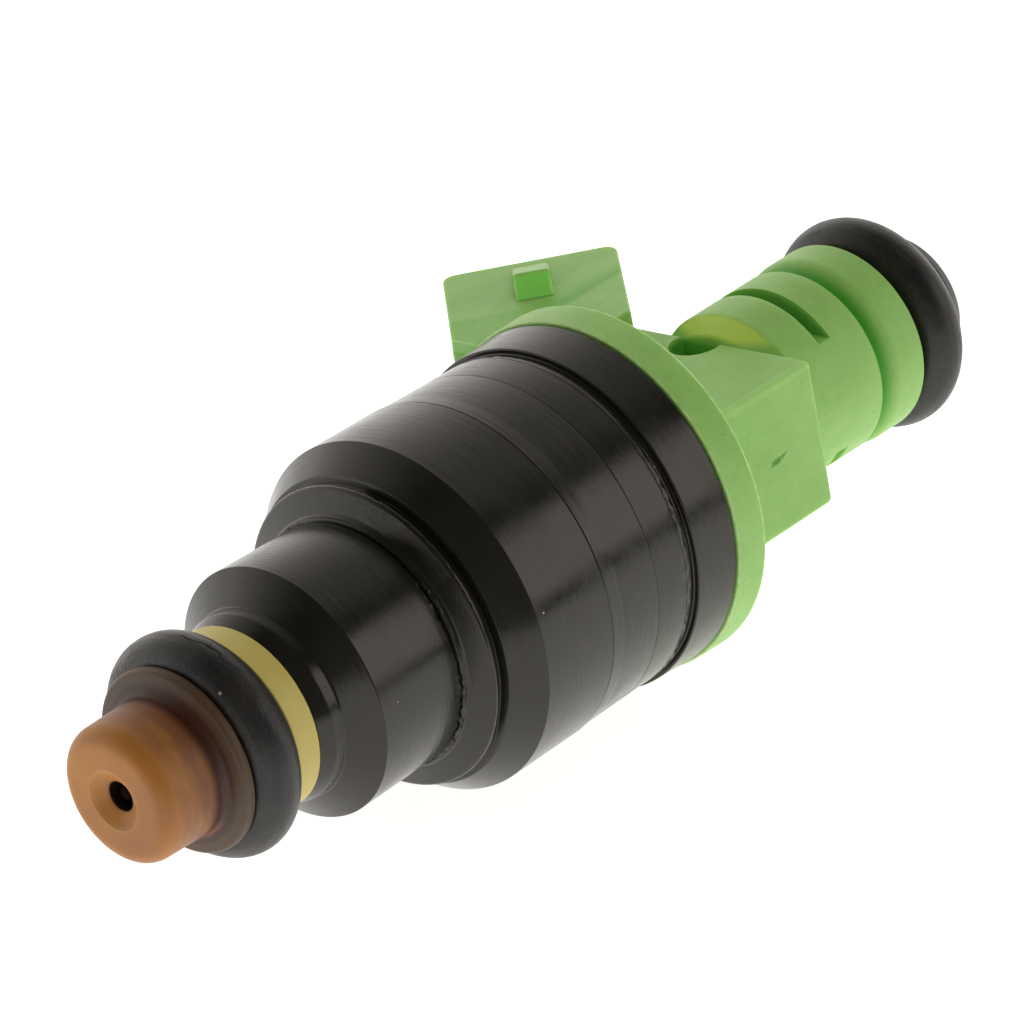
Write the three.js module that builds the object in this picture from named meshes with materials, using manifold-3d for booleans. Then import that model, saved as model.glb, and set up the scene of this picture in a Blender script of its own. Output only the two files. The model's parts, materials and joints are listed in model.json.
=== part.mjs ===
// A port fuel injector of the top-feed kind, built as its separate pieces.
// Millimetres. Inside the assembly +X runs along the injector's axis, from the spray tip at x = 0
// to the fuel inlet, +Y runs toward the connector's side, and +Z is square to both.
// The finished group is rolled about X so that the injector lies at rest on its flange and connector.
import * as THREE from 'three';
import { mergeVertices } from 'three/addons/utils/BufferGeometryUtils.js';
import Module from 'manifold-3d';

const wasm = await Module();
wasm.setup();

const DEGREE = Math.PI / 180;
const LARGE_SIDES = 36; // facets round the big turned pieces
const SMALL_SIDES = 24; // facets round the small turned pieces

// O-rings: both are 7.52 mm inside and 3.53 mm thick
const oRingSection = 3.53;
const oRingInner = 7.52;
const oRingWire = oRingSection / 2;
const oRingCentre = oRingInner / 2 + oRingWire;
const lowerORingX = 7.52;
const upperORingX = 70.0;

// Spray end
const capRadius = 4.44; // the cap's tip, at the front
const capBaseRadius = 4.54; // the same tip where it meets its flange
const capFlangeRadius = 5.98;
const capFlangeBackX = 5.7;
const capSleeveRadius = 3.68; // passes through the lower O-ring
const capSleeveEndX = 9.2;
const capBoreRadius = 3.1;
const capHoleRadius = 0.97;
const capCounterboreRadius = 1.97; // the wide rim of the spray hole
const capCounterboreDepth = 0.63;
const washerRadius = 5.96;
const washerInner = 3.3;
const washerFrontX = 9.36;
const washerBackX = 11.27;

// Nozzle body, clamped in the housing's nose with a stop plate behind it
const nozzleTipX = 2.85;
const nozzleTubeRadius = 2.9; // the slim part, inside the cap and the O-ring
const nozzleHeadX = 11.65; // the wide part, inside the housing
const nozzleHeadRadius = 5.3;
const nozzleEndX = 17.5;
const nozzleBoreRadius = 1.55;
const nozzleOrificeRadius = 0.65;
const nozzleRecessX = 16.7; // room for the needle's collar
const nozzleRecessRadius = 2.6;
const nozzleGrooveX = 12.6;
const nozzleGrooveEndX = 13.9;
const nozzleGrooveRadius = 4.45;
const stopPlateX = 17.75;
const stopPlateEndX = 18.75;
const stopPlateInner = 1.85;
const stopPlateRadius = 5.2;

// Housing, from its nose to its open end
const noseFrontX = 11.4;
const noseLipX = 11.6; // back of the lip that holds the nozzle in
const noseLipInner = 3.4;
const noseFrontRadius = 5.78;
const noseLandX = 12.3; // a narrow, nearly straight land between the nose's two cones
const noseLandRadius = 6.22;
const noseEdgeX = 13.15; // the edge where the nose starts to widen
const noseEdgeRadius = 6.32;
const collarStartX = 14.55;
const collarRadius = 8.26; // the wide part of the nose
const collarEndX = 21.1;
const coveStepX = 21.6; // where the cove behind the collar turns up toward the shoulder
const coveStepRadius = 8.38;
const shoulderRadius = 9.95;
const shoulderX = 22.2;
const shoulderGrooveX = 22.55; // the narrow groove between the shoulder and the cone
const shoulderGrooveRadius = 9.64;
const coneStartX = 23.1;
const coneStartRadius = 10.24;
const barrelRadius = 11.67;
const barrelFrontX = 25.1;
const barrelStepX = 31.0;
const barrelEndX = 38.46;
const nozzlePocketRadius = 5.5;
const nozzlePocketEndX = 19.05;
const armatureBoreRadius = 5.0;
const coilCavityRadius = 9.5;
const coilFloorX = 26.7;

// Clamping ring between the housing and the connector body
const ringFrontX = 38.95;
const ringEndX = 42.35;
const ringInner = 10.85;
const ringOuter = 11.63;

// Connector body
const flangeFrontX = 42.46;
const flangeEndX = 44.95;
const flangeRadius = 11.99;
const blockHalfWidth = 4.95;
const blockFlatY = -7.9; // the flat face turned away from the connector
const blockEndX = 55.7;
const neckRadius = 6.4;
const grooveRadius = 5.5;
const grooveStartX = 63.5;
const grooveFloorEndX = 63.95;
const grooveEndX = 64.85; // its far side is a ramp
const neckCollarRadius = 6.53;
const neckEndX = 67.64;
const neckBoreRadius = 3.45;
const slotStartX = 59.6;
const slotEndX = 60.75;
const slotFloor = 3.8; // distance of each flat slot floor from the axis
const pocketRadius = 1.75; // a shallow round pocket in the block's upper face
const pocketX = 54.9;
const pocketY = 1.05;
const pocketDepth = 1.3;

// Connector socket: its mouth's centre, and its lean from the axis
const mouthX = 56.5;
const mouthY = 16.2;
const connectorLean = 46 * DEGREE;
const socketThick = 11.5;
const socketHalfWidth = 7.8;
const socketWall = 1.2;
const socketDepth = 7.9;
const socketCorner = 0.9;
const latchWidth = 2.4;
const latchStart = 1.0; // from the mouth
const latchEnd = 6.3;
const latchHeight = 1.7;

// Terminal blades
const bladeThick = 0.8;
const bladeWidth = 2.8;
const bladePitch = 5.0;
const bladeRecess = 2.2; // tip below the mouth
const bladeFootX = 38.15;
const bladeFootY = 7.5;

// Inlet core: the steel tube that carries the fuel and closes the magnetic circuit
const coreFaceX = 27.4;
const coreRadius = 4.6;
const coreBoreRadius = 2.0;
const coreFlangeX = 38.8;
const coreFlangeEndX = 41.9;
const coreFlangeRadius = 10.6;
const tubeRadius = 3.2;
const tubeSeatX = 67.95;
const tubeSeatRadius = 3.68; // the O-ring's seat
const tubeEndX = 71.85;
const filterPocketX = 59.0;
const filterPocketRadius = 2.75;

// Needle and armature: one moving body
const needleRadius = 1.3;
const needleEndX = 22.4;
const needleCollarX = 17.0; // the collar that faces the stop plate
const needleCollarEndX = 17.45;
const needleCollarRadius = 2.3;
const needleConeX = 3.95; // the sealing cone, from the pintle to the full needle
const needleConeEndX = 4.95;
const pintleRadius = 0.42;
const pintleTipX = 0.95;
const armatureX = 20.3;
const armatureEndX = 26.95;
const armatureRadius = 4.7;
const springPocketRadius = 1.95;
const springSeatX = 23.0;
const springLength = 10.1;
const springRadius = 1.45;
const springWire = 0.24; // half of the wire's thickness
const springTurns = 6;
const sleeveX = 33.8; // the pressed-in sleeve that sets the spring's force
const sleeveEndX = 45.0;
const sleeveRadius = 1.85;
const sleeveBoreRadius = 1.05;

// Coil
const bobbinX = 27.8;
const bobbinEndX = 37.6;
const bobbinRadius = 9.2;
const bobbinBarrelRadius = 5.7;
const bobbinBoreRadius = 4.85;
const bobbinFlange = 1.0;
const windingInner = 5.85;
const windingOuter = 8.9;
const bobbinSealWire = 0.45;
const lowerBobbinSealX = 27.25;
const lowerBobbinSealRadius = 6.2;
const upperBobbinSealX = 38.2;
const upperBobbinSealRadius = 5.3;

// Fuel filter
const filterRimRadius = 4.65;
const filterRimX = 72.0;
const filterEndX = 73.88;
const filterBoreRadius = 2.0;
const filterSleeveRadius = 2.55;
const basketX = 60.0; // the closed end of the filter's basket
const basketFloor = 0.7;
const windowX = 61.4;
const windowEndX = 69.0;
const windowWidth = 2.4;
const gauzeX = 61.0;
const gauzeEndX = 69.6;
const gauzeInner = 1.6;
const gauzeOuter = 1.85;

const looks = {
  amber: new THREE.MeshStandardMaterial({ color: 0x8a5a30, roughness: 0.5, metalness: 0 }),
  rubber: new THREE.MeshStandardMaterial({ color: 0x1d1b19, roughness: 0.6, metalness: 0 }),
  yellow: new THREE.MeshStandardMaterial({ color: 0xa89e5c, roughness: 0.5, metalness: 0 }),
  black: new THREE.MeshStandardMaterial({ color: 0x161514, roughness: 0.35, metalness: 0.2 }),
  green: new THREE.MeshStandardMaterial({ color: 0x86b266, roughness: 0.55, metalness: 0 }),
  steel: new THREE.MeshStandardMaterial({ color: 0xb4b4b2, roughness: 0.35, metalness: 1 }),
  copper: new THREE.MeshStandardMaterial({ color: 0xb0693a, roughness: 0.4, metalness: 1 }),
  tin: new THREE.MeshStandardMaterial({ color: 0xc8c8c4, roughness: 0.3, metalness: 1 }),
  bobbin: new THREE.MeshStandardMaterial({ color: 0x3a3a38, roughness: 0.6, metalness: 0 }),
  filter: new THREE.MeshStandardMaterial({ color: 0x2b2b2c, roughness: 0.5, metalness: 0 }),
  gauze: new THREE.MeshStandardMaterial({ color: 0xc9c4b4, roughness: 0.7, metalness: 0 }),
};

// ---------- closed meshes ----------

/** Merges shared vertices, drops empty triangles and turns every face outward. */
function closed(source) {
  const bare = source.clone();
  bare.deleteAttribute('normal');
  bare.deleteAttribute('uv');
  const merged = mergeVertices(bare, 1e-5);
  const index = merged.index.array;
  const at = (i) => new THREE.Vector3().fromBufferAttribute(merged.attributes.position, i);
  const faces = [];
  let volume = 0;
  for (let i = 0; i < index.length; i += 3) {
    const [a, b, c] = [index[i], index[i + 1], index[i + 2]];
    if (a === b || b === c || c === a) continue;
    volume += at(a).dot(at(b).cross(at(c)));
    faces.push([a, b, c]);
  }
  const outward = faces.map(([a, b, c]) => (volume > 0 ? [a, b, c] : [a, c, b]));
  merged.setIndex(outward.flat());
  return merged;
}

function toSolid(geometry) {
  const mesh = closed(geometry);
  return new wasm.Manifold(new wasm.Mesh({
    numProp: 3,
    vertProperties: new Float32Array(mesh.attributes.position.array),
    triVerts: new Uint32Array(mesh.index.array),
  }));
}

function toGeometry(solid) {
  const mesh = solid.getMesh();
  const geometry = new THREE.BufferGeometry();
  geometry.setAttribute('position', new THREE.BufferAttribute(mesh.vertProperties, 3));
  geometry.setIndex(new THREE.BufferAttribute(mesh.triVerts, 1));
  return geometry;
}

/** A piece turned about X from its [x, radius] outline; a ring's outline closes on itself. */
function turned(outline, sides = LARGE_SIDES) {
  const profile = outline.map(([x, radius]) => new THREE.Vector2(radius, x));
  const solidOnAxis = outline[0][1] === 0 && outline.at(-1)[1] === 0;
  if (!solidOnAxis) profile.push(profile[0].clone());
  return closed(new THREE.LatheGeometry(profile, sides).rotateZ(-Math.PI / 2));
}

/** A ring of round section about X. */
function seal(x, centreRadius, wire, around, across) {
  const ring = new THREE.TorusGeometry(centreRadius, wire, across, around);
  return closed(ring.rotateY(Math.PI / 2).translate(x, 0, 0));
}

/** [x, radius] points along an arc, the angle measured from +X toward the radius. */
function arc(x, radius, bend, from, to, steps) {
  const points = [];
  for (let i = 0; i <= steps; i += 1) {
    const angle = (from + ((to - from) * i) / steps) * DEGREE;
    points.push([x + bend * Math.cos(angle), radius + bend * Math.sin(angle)]);
  }
  return points;
}

/** A flat outline in X and Y, made thick along Z between two heights. */
function slab(outline, low, high) {
  const shape = new THREE.Shape(outline.map(([x, y]) => new THREE.Vector2(x, y)));
  const body = new THREE.ExtrudeGeometry(shape, { depth: high - low, bevelEnabled: false });
  return body.translate(0, 0, low);
}

function box(x0, x1, y0, y1, z0, z1) {
  const body = new THREE.BoxGeometry(x1 - x0, y1 - y0, z1 - z0);
  return body.translate((x0 + x1) / 2, (y0 + y1) / 2, (z0 + z1) / 2);
}

// ---------- the socket's own directions ----------

const along = new THREE.Vector2(Math.cos(connectorLean), Math.sin(connectorLean));
const outward = new THREE.Vector2(-along.y, along.x);

/** A point in X and Y from its depth below the mouth and its place across the socket. */
function socketPoint(depth, across) {
  return [
    mouthX - depth * along.x + across * outward.x,
    mouthY - depth * along.y + across * outward.y,
  ];
}

/** The rounded corner of the socket's outline at the mouth, on one side (1 or -1). */
function mouthCorner(side) {
  const points = [];
  const steps = 4;
  for (let i = 0; i <= steps; i += 1) {
    const angle = (i / steps) * (Math.PI / 2);
    const across = socketThick / 2 - socketCorner + socketCorner * Math.cos(angle);
    points.push(socketPoint(socketCorner - socketCorner * Math.sin(angle), side * across));
  }
  return side > 0 ? points : points.reverse();
}

// ---------- O-rings ----------

function oRing(x) {
  return seal(x, oRingCentre, oRingWire, LARGE_SIDES, 12);
}

// ---------- spray end ----------

function pintleCap() {
  const rounding = 1.6;
  const flangeFrontX = 4.95;
  return turned([
    [capCounterboreDepth, capHoleRadius],
    [0, capCounterboreRadius],
    ...arc(rounding, capRadius - rounding, rounding, 180, 90, 5),
    [4.3, capBaseRadius],
    [4.6, 4.75],
    [flangeFrontX, 5.15],
    [flangeFrontX + 0.15, 5.7],
    [flangeFrontX + 0.4, capFlangeRadius],
    [capFlangeBackX, capFlangeRadius],
    [capFlangeBackX, capSleeveRadius],
    [capSleeveEndX, capSleeveRadius],
    [capSleeveEndX, capBoreRadius],
    [2.5, capBoreRadius],
    [2.2, capHoleRadius],
  ]);
}

function spacerWasher() {
  const edge = 0.12;
  return turned([
    [washerFrontX, washerInner],
    [washerFrontX, washerRadius - edge],
    [washerFrontX + edge, washerRadius],
    [washerBackX - edge, washerRadius],
    [washerBackX, washerRadius - edge],
    [washerBackX, washerInner],
  ]);
}

function nozzleBody() {
  const edge = 0.3;
  const seat = 0.9; // length of the cone that the needle closes on
  const seatX = nozzleTipX + 0.95;
  return turned([
    [nozzleTipX, nozzleOrificeRadius],
    [nozzleTipX, nozzleTubeRadius - edge],
    [nozzleTipX + edge, nozzleTubeRadius],
    [nozzleHeadX, nozzleTubeRadius],
    [nozzleHeadX, nozzleHeadRadius],
    [nozzleGrooveX, nozzleHeadRadius],
    [nozzleGrooveX, nozzleGrooveRadius],
    [nozzleGrooveEndX, nozzleGrooveRadius],
    [nozzleGrooveEndX, nozzleHeadRadius],
    [nozzleEndX, nozzleHeadRadius],
    [nozzleEndX, nozzleRecessRadius],
    [nozzleRecessX, nozzleRecessRadius],
    [nozzleRecessX, nozzleBoreRadius],
    [seatX + seat, nozzleBoreRadius],
    [seatX, nozzleOrificeRadius],
  ], SMALL_SIDES);
}

function nozzleSeal() {
  const wire = 0.45;
  const middleX = (nozzleGrooveX + nozzleGrooveEndX) / 2;
  return seal(middleX, nozzleGrooveRadius + wire + 0.07, wire, SMALL_SIDES, 6);
}

function stopPlate() {
  const halfSlot = 1.9; // the slot that lets the plate slip over the needle
  const plate = toSolid(turned([
    [stopPlateX, stopPlateInner],
    [stopPlateX, stopPlateRadius],
    [stopPlateEndX, stopPlateRadius],
    [stopPlateEndX, stopPlateInner],
  ], SMALL_SIDES));
  const slot = box(stopPlateX - 1, stopPlateEndX + 1, 0, stopPlateRadius + 1, -halfSlot, halfSlot);
  return toGeometry(plate.subtract(toSolid(slot)));
}

// ---------- moving needle, armature and their spring ----------

function needle() {
  return turned([
    [pintleTipX, 0],
    [pintleTipX, pintleRadius - 0.12],
    [pintleTipX + 0.2, pintleRadius],
    [needleConeX, pintleRadius],
    [needleConeEndX, needleRadius],
    [needleCollarX, needleRadius],
    [needleCollarX, needleCollarRadius],
    [needleCollarEndX, needleCollarRadius],
    [needleCollarEndX, needleRadius],
    [needleEndX, needleRadius],
    [needleEndX, 0],
  ], SMALL_SIDES);
}

function armature() {
  const fit = 0.05;
  const edge = 0.3;
  return turned([
    [armatureX, needleRadius + fit],
    [armatureX, armatureRadius - edge],
    [armatureX + edge, armatureRadius],
    [armatureEndX, armatureRadius],
    [armatureEndX, springPocketRadius],
    [springSeatX, springPocketRadius],
    [springSeatX, needleRadius + fit],
  ], SMALL_SIDES);
}

/** A helix about X. */
class Coil extends THREE.Curve {
  constructor(start, length, radius, turns) {
    super();
    Object.assign(this, { start, length, radius, turns });
  }

  getPoint(t, target = new THREE.Vector3()) {
    const angle = 2 * Math.PI * this.turns * t;
    return target.set(
      this.start + this.length * t,
      this.radius * Math.cos(angle),
      this.radius * Math.sin(angle),
    );
  }
}

function returnSpring() {
  const section = new THREE.Shape();
  section.absarc(0, 0, springWire, 0, 2 * Math.PI, false);
  const path = new Coil(springSeatX + 0.3, springLength, springRadius, springTurns);
  const steps = springTurns * 12;
  const options = { extrudePath: path, steps, curveSegments: 3, bevelEnabled: false };
  return closed(new THREE.ExtrudeGeometry(section, options));
}

function adjustingSleeve() {
  return turned([
    [sleeveX, sleeveBoreRadius],
    [sleeveX, sleeveRadius],
    [sleeveEndX, sleeveRadius],
    [sleeveEndX, sleeveBoreRadius],
  ], SMALL_SIDES);
}

// ---------- magnetic circuit ----------

function housing() {
  return turned([
    [noseFrontX, noseLipInner],
    [noseFrontX, noseFrontRadius],
    [noseLandX, noseLandRadius],
    [noseEdgeX, noseEdgeRadius],
    [collarStartX - 0.35, collarRadius - 0.3],
    [collarStartX, collarRadius],
    [collarEndX, collarRadius - 0.14],
    [collarEndX + 0.07, collarRadius - 0.26],
    [collarEndX + 0.14, collarRadius + 0.04],
    [coveStepX, coveStepRadius],
    [shoulderX - 0.08, shoulderRadius - 0.16],
    [shoulderX, shoulderRadius],
    [shoulderX + 0.22, shoulderRadius],
    [shoulderGrooveX, shoulderGrooveRadius],
    [coneStartX - 0.12, shoulderGrooveRadius],
    [coneStartX, coneStartRadius],
    [barrelFrontX - 0.2, barrelRadius - 0.15],
    [barrelFrontX, barrelRadius],
    [barrelStepX, barrelRadius - 0.1],
    [barrelStepX + 0.1, barrelRadius - 0.25],
    [barrelEndX - 0.4, barrelRadius - 0.28],
    [barrelEndX, barrelRadius - 0.42],
    [barrelEndX, coilCavityRadius],
    [coilFloorX, coilCavityRadius],
    [coilFloorX, armatureBoreRadius],
    [nozzlePocketEndX, armatureBoreRadius],
    [nozzlePocketEndX, nozzlePocketRadius],
    [noseLipX, nozzlePocketRadius],
    [noseLipX, noseLipInner],
  ]);
}

function clampRing() {
  return turned([
    [ringFrontX, ringInner],
    [ringFrontX, ringOuter - 0.08],
    [ringFrontX + 0.1, ringOuter],
    [ringEndX, ringOuter + 0.14],
    [ringEndX, ringInner],
  ]);
}

function inletCore() {
  const tube = toSolid(turned([
    [coreFaceX, coreBoreRadius],
    [coreFaceX, coreRadius],
    [coreFlangeX, coreRadius],
    [coreFlangeX, coreFlangeRadius],
    [coreFlangeEndX, coreFlangeRadius],
    [coreFlangeEndX, tubeRadius],
    [tubeSeatX, tubeRadius],
    [tubeSeatX, tubeSeatRadius],
    [tubeEndX, tubeSeatRadius],
    [tubeEndX, filterPocketRadius],
    [filterPocketX, filterPocketRadius],
    [filterPocketX, coreBoreRadius],
  ], SMALL_SIDES));
  const halfNotch = bladePitch / 2 + bladeWidth / 2 + 0.5;
  const notchFarY = coreFlangeRadius + 1;
  const notch = box(
    coreFlangeX - 1, coreFlangeEndX + 1, bladeFootY - 1, notchFarY, -halfNotch, halfNotch,
  );
  return toGeometry(tube.subtract(toSolid(notch)));
}

function coilBobbin() {
  return turned([
    [bobbinX, bobbinBoreRadius],
    [bobbinX, bobbinRadius],
    [bobbinX + bobbinFlange, bobbinRadius],
    [bobbinX + bobbinFlange, bobbinBarrelRadius],
    [bobbinEndX - bobbinFlange, bobbinBarrelRadius],
    [bobbinEndX - bobbinFlange, bobbinRadius],
    [bobbinEndX, bobbinRadius],
    [bobbinEndX, bobbinBoreRadius],
  ], SMALL_SIDES);
}

function coilWinding() {
  const margin = bobbinFlange + 0.15;
  return turned([
    [bobbinX + margin, windingInner],
    [bobbinX + margin, windingOuter],
    [bobbinEndX - margin, windingOuter],
    [bobbinEndX - margin, windingInner],
  ], SMALL_SIDES);
}

function bobbinSeal(x, centreRadius) {
  return seal(x, centreRadius, bobbinSealWire, SMALL_SIDES, 6);
}

// ---------- connector body ----------

function connectorArm() {
  const footY = 4.0; // inside the block
  const footX = flangeFrontX + 1; // inside the flange
  const outerReach = 11.1; // length of the socket's outer side
  const innerReach = (mouthY - footY - (socketThick / 2) * outward.y) / along.y;
  const outerFoot = socketPoint(outerReach, socketThick / 2);
  const outline = [
    ...mouthCorner(1),
    ...mouthCorner(-1),
    socketPoint(innerReach, -socketThick / 2),
    [footX, footY],
    [footX, outerFoot[1] - 1.2],
    outerFoot,
  ];
  return slab(outline, -socketHalfWidth, socketHalfWidth);
}

/** The wedge that the harness plug's clip snaps over, on one side of the socket (1 or -1). */
function latch(side) {
  const root = -0.4; // sunk into the side face
  const wedge = new THREE.Shape([
    new THREE.Vector2(latchStart, root),
    new THREE.Vector2(latchStart, 0.05),
    new THREE.Vector2(latchEnd, latchHeight),
    new THREE.Vector2(latchEnd, root),
  ]);
  const body = new THREE.ExtrudeGeometry(wedge, { depth: latchWidth, bevelEnabled: false });
  // the wedge's own axes become: depth below the mouth, height off the side face, across the socket
  const [x, y] = socketPoint(0, 0);
  const place = new THREE.Matrix4().makeBasis(
    new THREE.Vector3(-along.x, -along.y, 0),
    new THREE.Vector3(0, 0, side),
    new THREE.Vector3(outward.x, outward.y, 0),
  );
  body.translate(0, 0, -latchWidth / 2).applyMatrix4(place);
  return body.translate(x, y, side * socketHalfWidth);
}

function socketHollow() {
  const half = socketThick / 2 - socketWall;
  const above = -2; // past the mouth
  const outline = [[above, half], [above, -half], [socketDepth, -half], [socketDepth, half]];
  const width = socketHalfWidth - socketWall;
  return slab(outline.map(([depth, across]) => socketPoint(depth, across)), -width, width);
}

/** The bent strip's outline in X and Y, widened by a margin all round. */
function bladeOutline(margin, tipDepth) {
  const half = bladeThick / 2 + margin;
  const corner = half * Math.tan(connectorLean / 2);
  const bendX = mouthX - (mouthY - bladeFootY) / Math.tan(connectorLean);
  return [
    [bladeFootX - margin, bladeFootY - half],
    [bendX + corner, bladeFootY - half],
    socketPoint(tipDepth, -half),
    socketPoint(tipDepth, half),
    [bendX - corner, bladeFootY + half],
    [bladeFootX - margin, bladeFootY + half],
  ];
}

function terminal(z) {
  return closed(slab(bladeOutline(0, bladeRecess), z - bladeWidth / 2, z + bladeWidth / 2));
}

function terminalChannel(z) {
  const margin = 0.2;
  const half = bladeWidth / 2 + margin;
  return slab(bladeOutline(margin, socketDepth - 1), z - half, z + half);
}

function neck() {
  const rootX = blockEndX - 0.2; // just inside the block
  const footRadius = 5.35; // where the neck's front chamfer meets the block's end
  return turned([
    [rootX, 0],
    [rootX, blockHalfWidth - 0.05],
    [blockEndX, footRadius],
    [blockEndX + 1, neckRadius - 0.05],
    [grooveStartX, neckRadius],
    [grooveStartX, grooveRadius],
    [grooveFloorEndX, grooveRadius],
    [grooveEndX, neckCollarRadius],
    [neckEndX, neckCollarRadius],
    [neckEndX, 0],
  ]);
}

function connectorBody() {
  const flange = turned([
    [flangeFrontX, 0],
    [flangeFrontX, flangeRadius - 0.2],
    [flangeFrontX + 0.15, flangeRadius - 0.08],
    [flangeEndX - 0.2, flangeRadius],
    [flangeEndX, flangeRadius - 0.2],
    [flangeEndX, 0],
  ]);
  const blockFarY = 9; // inside the connector's arm
  const block = box(
    flangeEndX - 1, blockEndX, blockFlatY, blockFarY, -blockHalfWidth, blockHalfWidth,
  );
  const pocket = new THREE.CylinderGeometry(pocketRadius, pocketRadius, 2 * pocketDepth, SMALL_SIDES);
  pocket.rotateX(Math.PI / 2).translate(pocketX, pocketY, blockHalfWidth);
  const [boreX, boreEndX] = [flangeFrontX - 1, neckEndX + 1];
  const bore = turned([
    [boreX, 0],
    [boreX, neckBoreRadius],
    [boreEndX, neckBoreRadius],
    [boreEndX, 0],
  ], SMALL_SIDES);

  const clear = 9; // past the neck's surface
  const slots = [1, -1].map((side) => {
    const [low, high] = side > 0 ? [slotFloor, clear] : [-clear, -slotFloor];
    return box(slotStartX, slotEndX, -clear, clear, low, high);
  });
  const added = [connectorArm(), latch(1), latch(-1), neck()];
  const channels = [bladePitch / 2, -bladePitch / 2].map(terminalChannel);
  const removed = [bore, socketHollow(), ...slots, ...channels];

  let body = toSolid(block).subtract(toSolid(pocket)).add(toSolid(flange));
  for (const piece of added) body = body.add(toSolid(piece));
  for (const piece of removed) body = body.subtract(toSolid(piece));
  return toGeometry(body);
}

// ---------- fuel filter ----------

function filterFrame() {
  const cup = toSolid(turned([
    [basketX, 0],
    [basketX, filterSleeveRadius],
    [filterRimX, filterSleeveRadius],
    [filterRimX, filterRimRadius - 0.1],
    [filterRimX + 0.1, filterRimRadius],
    [filterEndX - 0.25, filterRimRadius],
    [filterEndX, filterRimRadius - 0.25],
    [filterEndX, filterBoreRadius + 0.3],
    [filterEndX - 0.4, filterBoreRadius],
    [basketX + basketFloor, filterBoreRadius],
    [basketX + basketFloor, 0],
  ], SMALL_SIDES));
  const half = windowWidth / 2;
  const reach = filterSleeveRadius + 1;
  const windows = [
    box(windowX, windowEndX, -reach, reach, -half, half),
    box(windowX, windowEndX, -half, half, -reach, reach),
  ];
  return toGeometry(windows.reduce((body, cut) => body.subtract(toSolid(cut)), cup));
}

function filterGauze() {
  return turned([
    [gauzeX, gauzeInner],
    [gauzeX, gauzeOuter],
    [gauzeEndX, gauzeOuter],
    [gauzeEndX, gauzeInner],
  ], SMALL_SIDES);
}

// ---------- assembly ----------

const injector = new THREE.Group();

function place(name, geometry, material) {
  const mesh = new THREE.Mesh(geometry, material);
  mesh.name = name;
  injector.add(mesh);
}

place('pintle_cap', pintleCap(), looks.amber);
place('lower_o_ring', oRing(lowerORingX), looks.rubber);
place('spacer_washer', spacerWasher(), looks.yellow);
place('nozzle_body', nozzleBody(), looks.steel);
place('nozzle_seal', nozzleSeal(), looks.rubber);
place('stop_plate', stopPlate(), looks.steel);
place('needle', needle(), looks.steel);
place('armature', armature(), looks.steel);
place('return_spring', returnSpring(), looks.steel);
place('adjusting_sleeve', adjustingSleeve(), looks.steel);
place('inlet_core', inletCore(), looks.steel);
place('coil_bobbin', coilBobbin(), looks.bobbin);
place('coil_winding', coilWinding(), looks.copper);
place('bobbin_seal_lower', bobbinSeal(lowerBobbinSealX, lowerBobbinSealRadius), looks.rubber);
place('bobbin_seal_upper', bobbinSeal(upperBobbinSealX, upperBobbinSealRadius), looks.rubber);
place('housing', housing(), looks.black);
place('clamp_ring', clampRing(), looks.black);
place('connector_body', connectorBody(), looks.green);
place('terminal_upper', terminal(bladePitch / 2), looks.tin);
place('terminal_lower', terminal(-bladePitch / 2), looks.tin);
place('filter_frame', filterFrame(), looks.filter);
place('filter_gauze', filterGauze(), looks.gauze);
place('upper_o_ring', oRing(upperORingX), looks.rubber);

// At rest the flange's rim and the connector's lowest corner touch the same level surface.
const [, cornerY] = socketPoint(0, socketThick / 2);
const cornerReach = Math.hypot(cornerY, socketHalfWidth);
const restRoll = Math.asin(flangeRadius / cornerReach) - Math.atan2(socketHalfWidth, cornerY);
const farY = cornerY * Math.cos(restRoll) + socketHalfWidth * Math.sin(restRoll);
injector.rotation.x = -restRoll;
injector.position.set(-filterEndX / 2, -(farY - flangeRadius) / 2, flangeRadius);

export default injector;
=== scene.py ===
"""The looks of the fuel injector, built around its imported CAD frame.

Pieces are drawn in the injector's own millimetres: x along its axis from the spray tip, y toward
the connector, z square to both. PLACE puts them in the row frame, in metres.
"""
import json
import math

import bmesh
import bpy
from mathutils import Matrix, Vector, noise


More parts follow.
